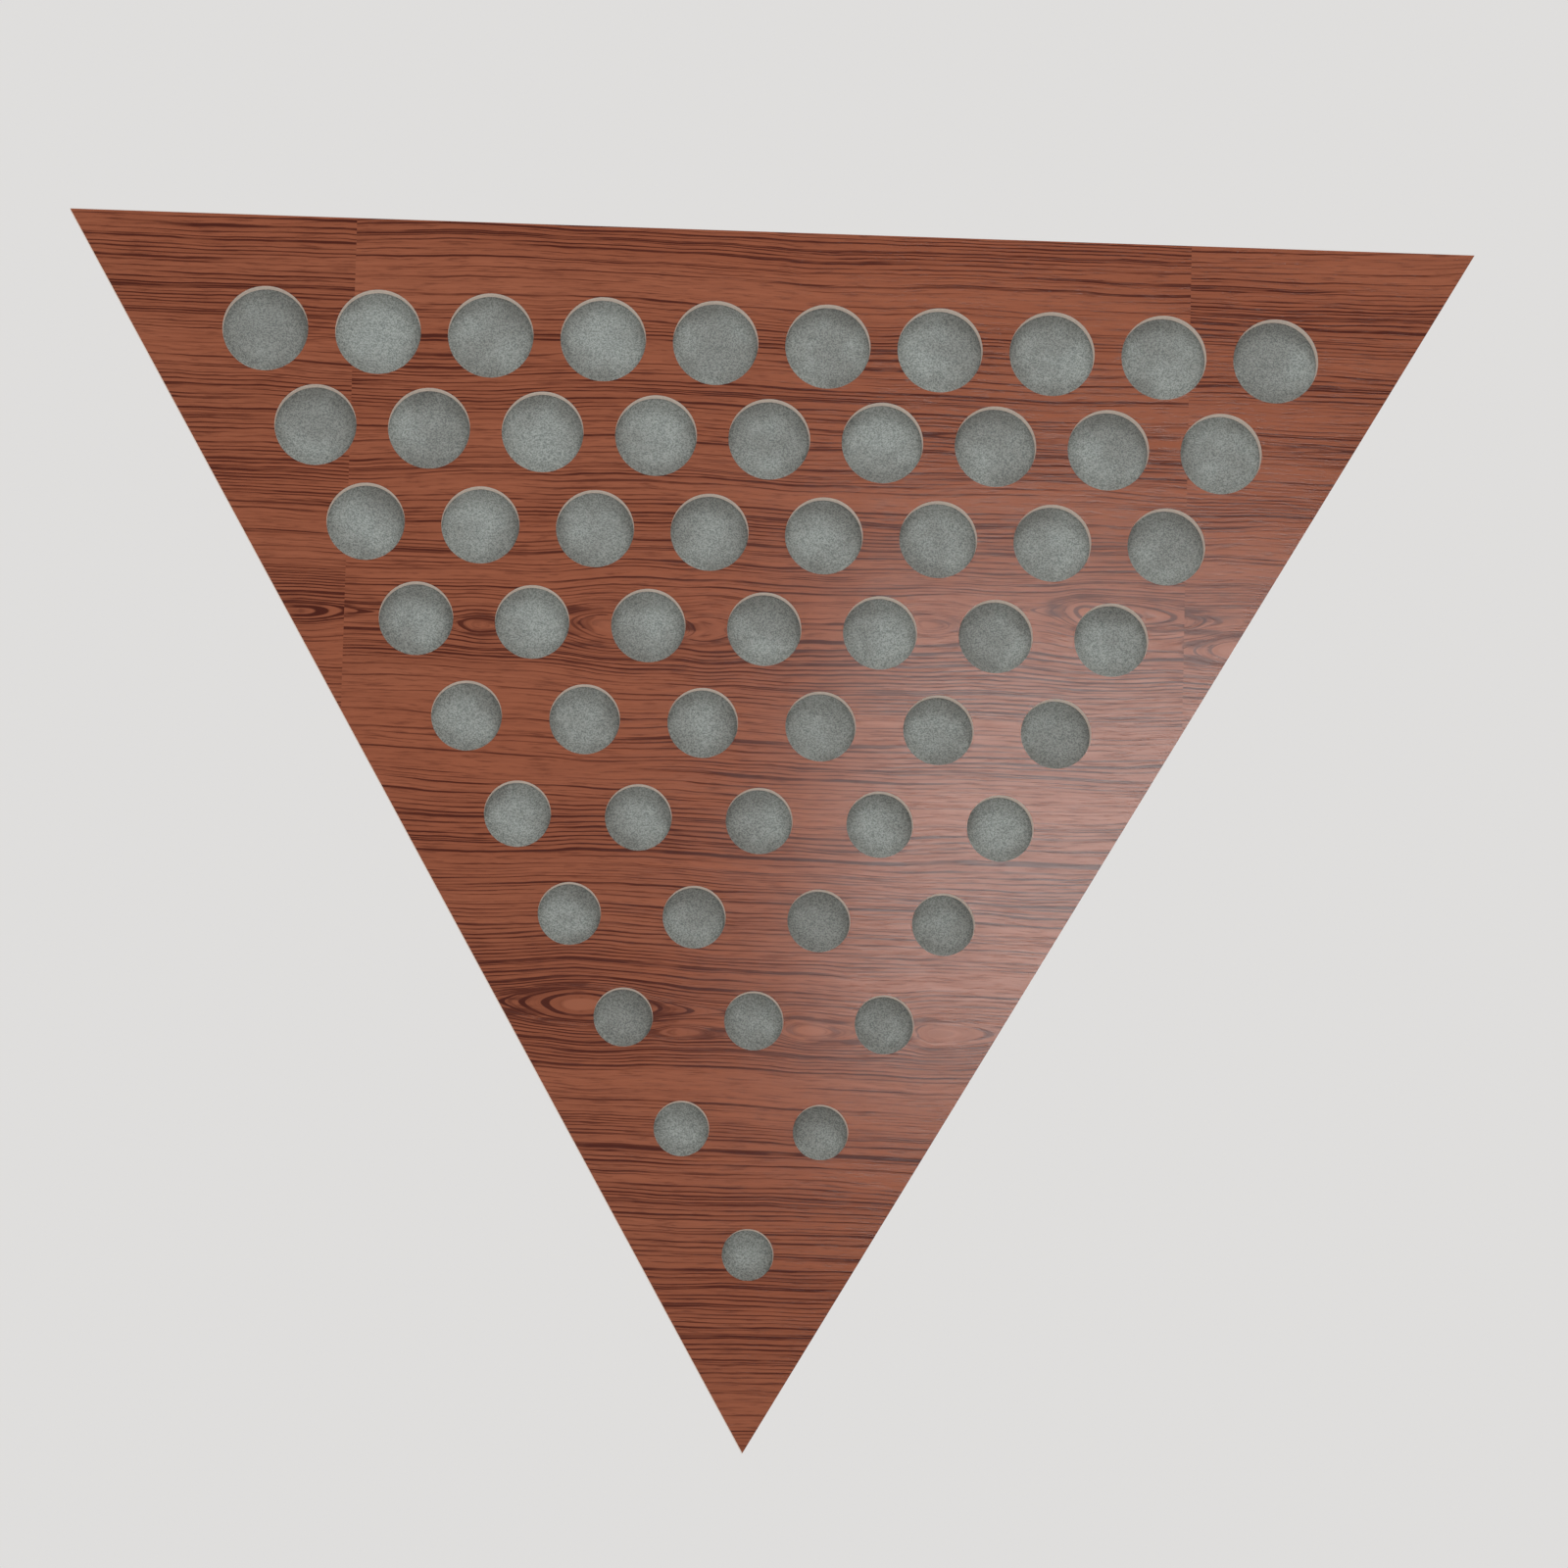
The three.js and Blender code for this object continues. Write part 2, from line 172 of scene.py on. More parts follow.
class PanelSettings(bpy.types.PropertyGroup):
    """Front panel: drilled board, wood print and felt."""

    hole_sides: count("Hole sides", "Sides of each drilled hole", 72)
    felt_cuts: count("Felt cuts", "How finely the felt is meshed", 110)
    felt_unevenness: length("Felt unevenness", "How far the felt's face dips", 0.35 * MM)
    wood: colour("Wood", "Main tone of the wood print", (0.540, 0.307, 0.214))
    wood_light: colour("Light wood", "Pale bands of the wood print", (0.551, 0.325, 0.234))
    wood_deep: colour("Deep wood", "Dark bands of the wood print", (0.430, 0.215, 0.130))
    wood_line: colour("Growth lines", "Thin lines of the wood print", (0.255, 0.080, 0.030))
    print_roughness: share("Print roughness", "How dull the wood print is", 0.115)
    board: colour("Board", "Cut edge and back of the board", (0.90, 0.84, 0.79))
    felt: colour("Felt", "Darker, warmer patches of the felt", (0.507, 0.521, 0.509))
    felt_cool: colour("Cool felt", "Paler, cooler patches of the felt", (0.577, 0.602, 0.591))


class FrameSettings(bpy.types.PropertyGroup):
    """Batten frame, its magnets, strike discs, angles and screws."""

    arris: length("Arris", "Rounding of the battens' long edges", 1.2 * MM)
    mitre_gap: length("Mitre gap", "From a batten's end to the mitre's plane", 0.2 * MM)
    tip_blunt: length("Blunt tips", "Cut off each sharp end of a batten", 6 * MM)
    seat_gap: length("Seat gap", "From the battens to the panel's back", 0.3 * MM)
    rebate_width: length("Rebate width", "Along the batten's back edge, for the fleece", 14 * MM)
    rebate_depth: length("Rebate depth", "Into the batten's outer face", 1.5 * MM)
    fixing_spacing: length("Fixing spacing", "Between a batten's two fixing holes", 180 * MM)
    fixing_inset: length("Fixing inset", "From the batten's front edge", 24 * MM)
    fixing_shank: length("Fixing hole", "Diameter for the fixing screw's shank", 5.4 * MM)
    fixing_head: length("Fixing hole sink", "Diameter for the fixing screw's head", 10.4 * MM)
    screw_shank: length("Screw shank", "Diameter of the magnets' and strikes' screws", 3 * MM)
    angle_shank: length("Angle screw shank", "Diameter of the angles' screws", 3.5 * MM)
    screw_gap: length("Screw gap", "Round a screw in its hole", 0.2 * MM)
    head_sink: length("Head sink", "How deep a screw's head lies below its face", 0.1 * MM)
    pocket_gap: length("Pocket gap", "Round a disc in its pocket", 0.3 * MM)
    disc_arris: length("Disc arris", "Eased rims of the magnets and discs", 0.35 * MM)
    angle_thickness: length("Angle thickness", "Sheet of the steel angles", 2 * MM)
    angle_bend: length("Angle bend", "Inner radius of the fold", 1 * MM)
    angle_arris: length("Angle arris", "Eased edges of the steel angles", 0.25 * MM)
    angle_screw_inset: length("Angle screw inset", "From the angle's outer corner", 16 * MM)
    turned_sides: count("Turned sides", "Sides of a turned piece", 48)
    pine: colour("Pine", "Early wood of the battens", (0.84, 0.70, 0.49))
    pine_late: colour("Late pine", "Dark rings of the battens", (0.70, 0.50, 0.29))
    nickel: colour("Nickel", "Plating of the magnets", (0.80, 0.79, 0.76))
    zinc: colour("Zinc", "Plating of the discs and angles", (0.74, 0.755, 0.77))
    yellow_zinc: colour("Yellow zinc", "Passivated plating of the screws", (0.80, 0.68, 0.40))


class AbsorberSettings(bpy.types.PropertyGroup):
    """Wool slabs and the fleece over them."""

    slab_recess: length("Slab recess", "How far the wool lies inside its CAD solid", 1.6 * MM)
    slab_arris: length("Slab arris", "Worn edges of a slab", 3 * MM)
    slab_mesh: length("Slab mesh", "How finely a slab is meshed", 3.8 * MM)
    slab_roughness: length("Slab roughness", "Height of the torn fibres", 1.1 * MM)
    fleece_thickness: length("Fleece thickness", "Thickness of the fleece", 0.9 * MM)
    fleece_cuts: count("Fleece cuts", "How finely the fleece is meshed", 90)
    fold_depth: length("Fold depth", "Depth of the fleece's soft folds", 1.3 * MM)
    fold_length: length("Fold length", "How far a fold runs in from the batten", 120 * MM)
    staple_spacing: length("Staple spacing", "Between the staples on a batten", 62 * MM)
    staple_inset: length("Staple inset", "From the fleece's front edge", 5.2 * MM)
    staple_width: length("Staple width", "Crown of a staple", 10 * MM)
    staple_wire: length("Staple wire", "Width of the staples' flat wire", 0.9 * MM)
    staple_crown: length("Staple crown", "Thickness of the staples' flat wire", 0.25 * MM)
    wool: colour("Wool", "Main tone of the slabs", (0.64, 0.585, 0.41))
    wool_dark: colour("Wool shade", "Darker fibres of the slabs", (0.46, 0.41, 0.27))
    fleece: colour("Fleece", "Main tone of the fleece", (0.125, 0.128, 0.135))


class StageSettings(bpy.types.PropertyGroup):
    """Camera, lamps, floor and world. Places are in the panel's frame."""

    camera: spot_at("Camera", "Where the camera stands", (-0.111, -0.459, 3.2))
    aim: spot_at("Aim", "What the camera points at", (0.0101, -0.0639, 0.0084))
    roll: number(
        "Roll", "Turn of the camera about its axis", math.radians(1.5),
        subtype="ANGLE", unit="ROTATION",
    )
    lens: number("Lens", "Focal length in mm", 174.7, unit="CAMERA")
    daylight: number("Daylight", "Strength of the even light from all round", 0.78)
    backdrop: colour("Backdrop", "Pale grey behind the object", (0.875, 0.87, 0.865))
    floor_drop: length("Floor drop", "From the origin down to the floor", 3.2)
    floor_radius: length("Floor radius", "How far the floor reaches", 60)
    floor_glow: share("Floor glow", "How strongly the camera sees the floor shine", 0.22)


# Modelling


def only(piece):
    """Selects one object and nothing else."""
    bpy.ops.object.select_all(action="DESELECT")
    piece.select_set(True)
    bpy.context.view_layer.objects.active = piece


def primitive(name, add, **settings):
    """Adds a primitive with nothing else selected, and moves its place into its mesh."""
    bpy.ops.object.select_all(action="DESELECT")
    add(**settings)
    piece = bpy.context.object
    piece.name = piece.data.name = name
    bpy.ops.object.transform_apply(location=True, rotation=True, scale=True)
    return piece


def box(name, low, high):
    low, high = Vector(low), Vector(high)
    return primitive(
        name, bpy.ops.mesh.primitive_cube_add, size=1, location=(low + high) / 2, scale=high - low
    )


def prism(name, radius, low, high, sides, place=(0, 0), turn=0):
    """An upright prism or round bar between two heights."""
    return primitive(
        name, bpy.ops.mesh.primitive_cylinder_add, vertices=sides, radius=radius,
        depth=high - low, location=(*place, (low + high) / 2), rotation=(0, 0, turn),
    )


def editing(piece, *steps):
    """Runs edit mode steps on a piece that is selected all over before each of them."""
    only(piece)
    bpy.ops.object.mode_set(mode="EDIT")
    for step in steps:
        bpy.ops.mesh.select_all(action="SELECT")
        step()
    bpy.ops.object.mode_set(mode="OBJECT")


def weld():
    """Merges points that fall together."""
    bpy.ops.mesh.remove_doubles(threshold=WELD)


def flatten():
    """Makes one face of faces that lie in one plane."""
    bpy.ops.mesh.dissolve_limited(angle_limit=FLAT)


def turn_out():
    bpy.ops.mesh.normals_make_consistent(inside=False)


def turned(name, profile, sides, ring=False):
    """A piece spun about Z from [radius, height] points, or a ring where they close."""
    mesh = bpy.data.meshes.new(name)
    edges = [(i, i + 1) for i in range(len(profile) - 1)]
    if ring:
        edges.append((len(profile) - 1, 0))
    mesh.from_pydata([(radius, 0, height) for radius, height in profile], edges, [])
    piece = bpy.data.objects.new(name, mesh)
    bpy.context.scene.collection.objects.link(piece)

    def spin():
        bpy.ops.mesh.spin(steps=sides, angle=2 * math.pi, center=(0, 0, 0), axis=(0, 0, 1))

    editing(piece, spin, weld, turn_out)
    return piece


def stepped(name, steps, sides):
    """A turned cutter from the bottom up: each step has a radius and the heights it runs between."""
    profile = [(0, steps[0][1])]
    for radius, start, end in steps:
        profile += [(radius, start), (radius, end)]
    return turned(name, [*profile, (0, steps[-1][2])], sides)


def cut_off(piece, point, normal):
    """Cuts off what lies beyond a plane, and closes the cut."""

    def bisect():
        bpy.ops.mesh.bisect(plane_co=point, plane_no=normal, use_fill=True, clear_outer=True)

    editing(piece, bisect)


def apply(piece, kind, **settings):
    """Adds a modifier with these settings and applies it."""
    modifier = piece.modifiers.new(kind.lower(), kind)
    for name, value in settings.items():
        setattr(modifier, name, value)
    only(piece)
    bpy.ops.object.modifier_apply(modifier=modifier.name)


def ease(piece, width, segments=2, angle=SHARP):
    """Rounds the sharp edges of a piece, and welds them: an empty face would open the next cut."""
    apply(
        piece, "BEVEL", width=width, segments=segments, limit_method="ANGLE",
        angle_limit=math.radians(angle), miter_outer="MITER_ARC", harden_normals=False,
    )
    editing(piece, weld)


def joined(name, pieces):
    """Joins pieces into one object."""
    first = pieces[0]
    if len(pieces) > 1:
        only(first)
        for piece in pieces:
            piece.select_set(True)
        bpy.ops.object.join()
    first.name = first.data.name = name
    return first


def discard(*pieces):
    for piece in pieces:
        bpy.data.objects.remove(piece)


def cut(piece, cutters, operation="DIFFERENCE"):
    """Takes the cutters out of a piece, or adds them to it as a union."""
    tool = joined("cutter", cutters)
    apply(piece, "BOOLEAN", operation=operation, solver="EXACT", object=tool)
    discard(tool)
    editing(piece, weld)


def moved(piece, place):
    """Moves a piece's mesh, and leaves its object where it is."""
    piece.data.transform(place)
    piece.data.update()
    return piece


def copy_of(piece, name):
    """A copy with a mesh of its own."""
    made = bpy.data.objects.new(name, piece.data.copy())
    made.data.name = name
    bpy.context.scene.collection.objects.link(made)
    return made


def smooth(piece, angle=SHARP):
    only(piece)
    bpy.ops.object.shade_smooth_by_angle(angle=math.radians(angle))


def keep_place(piece, shift=(0, 0, 0), place=Matrix.Identity(4)):
    """Stores where each point lies in the frame that the piece was modelled in, so that its
    grain or its scratches turn with it. The shift makes each copy's pattern its own."""
    back, shift = place.inverted(), Vector(shift)
    layer = piece.data.attributes.new("modelled_place", "FLOAT_VECTOR", "POINT")
    for item, vertex in zip(layer.data, piece.data.vertices):
        item.vector = back @ vertex.co + shift


def finished(piece, body, material, node=None):
    """Gives a piece its body and its material, and lets it stand for its CAD node."""
    piece.data.materials.clear()
    piece.data.materials.append(material)
    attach(piece, body)
    if node:
        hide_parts(node)


def fractal(spot, size, smoothness):
    """Unevenness of a torn or needled face. Its largest bumps are one size apart, and each of its
    three layers is twice as fine as the one before."""
    return noise.fractal(spot / size, smoothness, 2, 3)


# Materials


def linear(shade):
    return (*Color(shade).from_srgb_to_scene_linear(), 1)


def shaded(tone, by):
    """A linear tone made darker or paler by a factor."""
    return (*(part * by for part in tone[:3]), 1)


class Value:
    """What a node puts out. Arithmetic with it adds Math nodes to its graph."""

    def __init__(self, graph, socket):
        self.graph = graph
        self.socket = socket

    def __add__(self, other):
        return self.graph.math("ADD", self, other)

    def __sub__(self, other):
        return self.graph.math("SUBTRACT", self, other)

    def __mul__(self, other):
        return self.graph.math("MULTIPLY", self, other)

    def __truediv__(self, other):
        return self.graph.math("DIVIDE", self, other)

    def __pow__(self, other):
        return self.graph.math("POWER", self, other)


class Graph:
    """One node tree. Inputs are numbers, colours or what other nodes put out."""

    def __init__(self, tree):
        self.tree = tree
        tree.nodes.clear()

    def put(self, sockets, values):
        """Sets or links inputs, each found by its name or its number."""
        for key, value in dict(values).items():
            source = getattr(value, "socket", value)
            if isinstance(source, bpy.types.NodeSocket):
                self.tree.links.new(source, sockets[key])
            else:
                sockets[key].default_value = source

    def add(self, kind, inputs=(), **settings):
        node = self.tree.nodes.new(kind)
        for name, value in settings.items():
            setattr(node, name, value)
        self.put(node.inputs, inputs)
        return node

    def out(self, kind, inputs=(), key=0, **settings):
        """Adds a node, and gives back one of its outputs."""
        return Value(self, self.add(kind, inputs, **settings).outputs[key])

    def math(self, operation, *values):
        return self.out("ShaderNodeMath", enumerate(values), operation=operation)

    def highest(self, first, second):
        return self.math("MAXIMUM", first, second)

    def split(self, vector):
        node = self.add("ShaderNodeSeparateXYZ", {0: vector})
        return [Value(self, part) for part in node.outputs]

    def vector(self, x, y, z=0):
        return self.out("ShaderNodeCombineXYZ", {0: x, 1: y, 2: z})

    def scaled(self, vector, scale):
        """The vector with each of its parts times a number."""
        return self.out("ShaderNodeVectorMath", {0: vector, 1: scale}, operation="MULTIPLY")

    def noise(self, vector, scale, detail=2, roughness=0.5):
        inputs = {"Vector": vector, "Scale": scale, "Detail": detail, "Roughness": roughness}
        return self.out("ShaderNodeTexNoise", inputs)

    def level(self, value, low, high, to_low=0, to_high=1):
        """Maps a value smoothly from one range to another."""
        inputs = {0: value, 1: low, 2: high, 3: to_low, 4: to_high}
        return self.out("ShaderNodeMapRange", inputs, interpolation_type="SMOOTHSTEP")

    def mix(self, share, first, second, blend="MIX"):
        inputs = {0: share, 6: first, 7: second}
        return self.out("ShaderNodeMix", inputs, 2, data_type="RGBA", blend_type=blend)

    def layers(self, tone, *over):
        """Lays tones over the first one in turn, each by its own share."""
        for share, shade in over:
            tone = self.mix(share, tone, shade)
        return tone

    def bump(self, height, strength, distance):
        inputs = {"Strength": strength, "Distance": distance, "Height": height}
        return self.out("ShaderNodeBump", inputs)

    def object_place(self):
        return self.out("ShaderNodeTexCoord", key="Object")

    def panel_place(self):
        """Object coordinates, turned to the panel's frame."""
        back = PANEL.inverted()
        inputs = {
            "Vector": self.object_place(), "Location": back.to_translation(),
            "Rotation": back.to_euler(),
        }
        return self.out("ShaderNodeMapping", inputs, vector_type="POINT")

    def modelled_place(self):
        """The place that keep_place stored."""
        return self.out("ShaderNodeAttribute", key="Vector", attribute_name="modelled_place")

    def group(self, tree, inputs):
        """Places a node group, and gives back its outputs by name."""
        node = self.add("ShaderNodeGroup", inputs, node_tree=tree)
        return {socket.name: Value(self, socket) for socket in node.outputs}


def surface(name, constants):
    """A material with one Principled shader, its graph and the shader's inputs."""
    material = bpy.data.materials.new(name)
    material.use_nodes = True
    graph = Graph(material.node_tree)
    shader = graph.add("ShaderNodeBsdfPrincipled", constants)
    graph.add("ShaderNodeOutputMaterial", {"Surface": shader.outputs[0]})
    return material, graph, shader.inputs


def node_group(name, vector, numbers):
    """Starts a node group with one vector and some numbers as named inputs."""
    tree = bpy.data.node_groups.new(name, "ShaderNodeTree")
    tree.interface.new_socket(name=vector, in_out="INPUT", socket_type="NodeSocketVector")
    for socket, default in numbers.items():
        made = tree.interface.new_socket(
            name=socket, in_out="INPUT", socket_type="NodeSocketFloat"
        )
        made.default_value = default
    graph = Graph(tree)
    source = graph.add("NodeGroupInput").outputs
    return graph, {key: Value(graph, source[key]) for key in (vector, *numbers)}


def closed(graph, results):
    """Ends a node group with its named outputs."""
    for name in results:
        graph.tree.interface.new_socket(
            name=name, in_out="OUTPUT", socket_type="NodeSocketFloat"
        )
    graph.add("NodeGroupOutput", results)
    return graph.tree


def once(build):
    """Keeps what a build function made, so that it is built once."""
    kept = []

    def get():
        if not kept:
            kept.append(build())
        return kept[0]

    return get


@once
def knot_group():
    """A knot in wood. The growth lines part round it, rings fill it and a dark rim closes it."""
    sizes = {"Left": 20 * MM, "Right": 20 * MM, "Radius": 6 * MM}
    graph, source = node_group("Knot", "Centre", {"Along": 0, "Height": 0, **sizes})
    centre = graph.split(source["Centre"])
    across = source["Along"] - centre[0]
    up = source["Height"] - centre[1]
    left = graph.math("MINIMUM", across, 0) / source["Left"]
    right = graph.highest(across, 0) / source["Right"]
    fall = graph.math("EXPONENT", (left ** 2 + right ** 2) * -1)
    squared = source["Radius"] ** 2
    outer = up ** 2 - fall * squared
    below = graph.math("LESS_THAN", up, 0) * graph.math("GREATER_THAN", outer, 0)
    sign = graph.math("MULTIPLY_ADD", below, -2, 1)
    parted = graph.math("SQRT", graph.math("ABSOLUTE", outer)) * sign
    share = outer / squared
    rim = graph.level(graph.math("ABSOLUTE", share), 0.75, 0.10)
    return closed(graph, {
        "Height": parted + centre[1],
        "Near": graph.level(share, 6, 1) * graph.level(fall, 0.02, 0.3),
        "Heart": graph.level(share, -0.86, -0.93),
        "Rim": rim * graph.level(fall, 0.04, 0.2),
    })


@once
def fibre_group():
    """Loose fibres that cross each other: a mask, a height for bump, and a mottle."""
    graph, source = node_group("Fibres", "Place", {"Fineness": 600, "Length": 6})
    stretch = graph.vector(graph.math("DIVIDE", 1, source["Length"]), 1, 1)
    mask = 0
    for angle in (20, 80, 140):
        inputs = {"Vector": source["Place"], "Rotation": [math.radians(angle)] * 3}
        strand = graph.scaled(graph.out("ShaderNodeMapping", inputs), stretch)
        strands = graph.noise(strand, source["Fineness"], 3, 0.55)
        mask = graph.highest(mask, graph.level(strands, 0.50, 0.68))
    mottle = graph.noise(source["Place"], source["Fineness"] * 1.6, 2)
    return closed(graph, {"Mask": mask, "Height": mask * 0.6 + mottle, "Mottle": mottle})


@once
def scratch_group():
    """Fine handling scratches and cloudy dulling on plated metal."""
    graph, source = node_group("Scratches", "Place", {"Amount": 0.5})
    lines = graph.noise(graph.scaled(source["Place"], (250, 3500, 900)), 1, 2, 0.6)
    clouds = graph.noise(source["Place"], 320, 3, 0.6)
    dulling = (graph.level(lines, 0.56, 0.66) * 0.35 + clouds) * source["Amount"]
    return closed(graph, {"Dulling": dulling, "Height": lines})


# Knots of the wood print, in mm: place across and up the panel, half length to the left and to
# the right, and radius; then how pale the heart is
PRINT_KNOTS = [
    (-73, -161, 25, 30, 8.5, 0.9), (20, -166, 9, 26, 5, 0.7), (76, -166, 12, 34, 6, 0.7),
    (-30, -170, 10, 14, 3, 0), (-66, 1, 20, 26, 9, 0.5), (-122, 0, 9, 18, 4.5, 0),
    (-24, 1, 10, 12, 5, 0), (67, 4, 8, 16, 4, 0), (136, 11, 12, 42, 6.5, 0.9),
    (197, 0, 13, 18, 6, 0.3), (-196, 4, 30, 16, 4, 0), (160, 86, 60, 50, 3, 0),
]

# The print comes in strips, and each takes the pattern from further along and further up. Its
# growth lines waver by these waves: how many along and across a metre, and how far in mm.
STRIP_WIDTH = 356.5 * MM
STRIP_SEAM = -178 * MM
STRIP_ALONG, STRIP_UP = 0.21, 0.61
WAVES = ((2.4, 5, 24), (9, 24, 5), (22, 52, 2), (48, 130, 1.1))


def wood_print(settings):
    """Printed wood: wavering growth lines that fade in and out, pores, bands and knots."""
    material, graph, shader = surface("Wood print", {"Specular IOR Level": 0.2})
    place = graph.panel_place()
    across, up, _ = graph.split(place)
    strip = graph.math("FLOOR", (across - STRIP_SEAM) / STRIP_WIDTH)
    along = graph.math("MULTIPLY_ADD", strip, STRIP_ALONG, across)

    def streaks(length_scale, width_scale, detail=2, roughness=0.5, level=up):
        spot = graph.vector(along * length_scale, level * width_scale)
        return graph.noise(spot, 1, detail, roughness)

    height = up
    for length_scale, width_scale, reach in WAVES:
        wave = streaks(length_scale, width_scale) - 0.5
        height = graph.math("MULTIPLY_ADD", wave, reach * MM, height)
    aside = graph.math("MULTIPLY_ADD", streaks(11, 70) - 0.5, 16 * MM, across)
    hearts = rims = near = 0
    for x, y, left, right, radius, heart in PRINT_KNOTS:
        knot = graph.group(knot_group(), {
            "Along": aside, "Height": height, "Centre": (x * MM, y * MM, 0),
            "Left": left * MM, "Right": right * MM, "Radius": radius * MM,
        })
        height = knot["Height"]
        if heart:
            hearts = graph.highest(hearts, knot["Heart"] * heart)
        rims = graph.highest(rims, knot["Rim"])
        near = graph.highest(near, knot["Near"])
    near = near * graph.level(streaks(24, 210, 3, 0.6), 0.40, 0.58)
    flames = rims * graph.level(streaks(30, 260, 3, 0.6), 0.44, 0.58)
    clusters = streaks(2.2, 38, level=height)
    bands = graph.level(streaks(1.9, 26, 3, level=height), 0.30, 0.70)
    haze = graph.level(streaks(5, 9), 0.30, 0.72)
    height = graph.math("MULTIPLY_ADD", strip, STRIP_UP, height)

    def growth_lines(per_metre, uneven, width, low, high, seed):
        """Thin dark lines with a soft upper side. Each is strong here, and tapers away there."""
        drift = streaks(0.9, 34, level=height) * uneven
        phase = graph.math("MULTIPLY_ADD", height, per_metre, drift + seed)
        ring = graph.math("FLOOR", phase)
        side = phase - ring
        spread = graph.noise(graph.vector(along * 4.5, ring * 0.77), 1, 4, 0.62)
        strength = graph.level(graph.math("MULTIPLY_ADD", clusters, 0.55, spread), low, high)
        strength = graph.highest(strength, near * 0.55)
        fall = graph.level(side, 1, 0.94)
        reach = graph.math("MULTIPLY_ADD", strength, width, side)
        core = graph.level(reach, 0.94, 1.02) * fall * graph.level(strength, 0, 0.3)
        breaks = graph.noise(graph.vector(along * 36, ring * 1.31), 1, 2)
        core = core * graph.level(breaks, 0.36, 0.52, 0.4, 1)
        return core, graph.level(side, 0.35, 1.0) * fall * strength

    bold, bold_halo = growth_lines(
        per_metre=235, uneven=5.0, width=0.20, low=0.68, high=0.86, seed=0
    )
    fine, fine_halo = growth_lines(
        per_metre=560, uneven=9.0, width=0.34, low=0.66, high=0.84, seed=31
    )
    groups = graph.level(clusters, 0.40, 0.60)
    pores = graph.level(streaks(70, 1150, 3, 0.65, level=height), 0.50, 0.68)
    fibre = streaks(30, 700, 3, 0.65, level=height)
    wood, light = linear(settings.wood), linear(settings.wood_light)
    deep, line = linear(settings.wood_deep), linear(settings.wood_line)
    tone = graph.layers(
        wood, (bands, light), (groups * 0.28, deep), (haze * 0.35, wood),
        (graph.level(fibre, 0.3, 0.7, 0, 0.42), deep),
        (graph.highest(bold_halo, fine_halo) * 0.44, deep),
        (fine * graph.math("MULTIPLY_ADD", groups, 0.35, 0.65), line),
        (pores * 0.50, line), (flames * 0.80, line), (bold * 0.97, line), (hearts, light),
    )
    dull = settings.print_roughness
    relief = graph.noise(place, 420, 2) * 0.35 - pores
    graph.put(shader, {
        "Base Color": tone,
        "Roughness": graph.level(fibre, 0.3, 0.7, dull - 0.02, dull + 0.03),
        "Normal": graph.bump(relief, 0.15, 0.04 * MM),
    })
    return material


def fibreboard(settings):
    """Pressed fibreboard: pale, with fine flecks."""
    material, graph, shader = surface("Fibreboard", {"Specular IOR Level": 0.3})
    place = graph.object_place()
    board = linear(settings.board)
    flecks = graph.noise(place, 900, 4, 0.7)
    clouds = graph.noise(place, 45, 2)
    graph.put(shader, {
        "Base Color": graph.layers(
            board, (graph.level(flecks, 0.35, 0.7), shaded(board, 0.75)),
            (graph.level(clouds, 0.3, 0.7, 0, 0.3), board),
        ),
        "Roughness": graph.level(flecks, 0.3, 0.7, 0.78, 0.92),
        "Normal": graph.bump(flecks, 0.35, 0.15 * MM),
    })
    return material


def grey_felt(settings):
    """Needled felt: grey green, with paler and cooler patches, and fibres of both tones."""
    material, graph, shader = surface("Grey felt", {
        "Roughness": 0.96, "Specular IOR Level": 0.2, "Sheen Weight": 0.25,
        "Sheen Roughness": 0.6,
    })
    place = graph.panel_place()
    fibres = graph.group(fibre_group(), {"Place": place, "Fineness": 1100, "Length": 7})
    patches = graph.level(graph.noise(place, 26, 3, 0.6), 0.40, 0.62)
    tone = graph.mix(patches, linear(settings.felt), linear(settings.felt_cool))
    dark = graph.mix(1, tone, (0.50, 0.52, 0.52, 1), "MULTIPLY")
    bright = graph.mix(1, tone, (1.45, 1.42, 1.40, 1), "MULTIPLY")
    tone = graph.mix(graph.level(fibres["Mottle"], 0.38, 0.62), dark, tone)
    graph.put(shader, {
        "Base Color": graph.mix(fibres["Mask"] * 0.3, tone, bright),
        "Normal": graph.bump(fibres["Height"], 0.55, 0.3 * MM),
    })
    return material


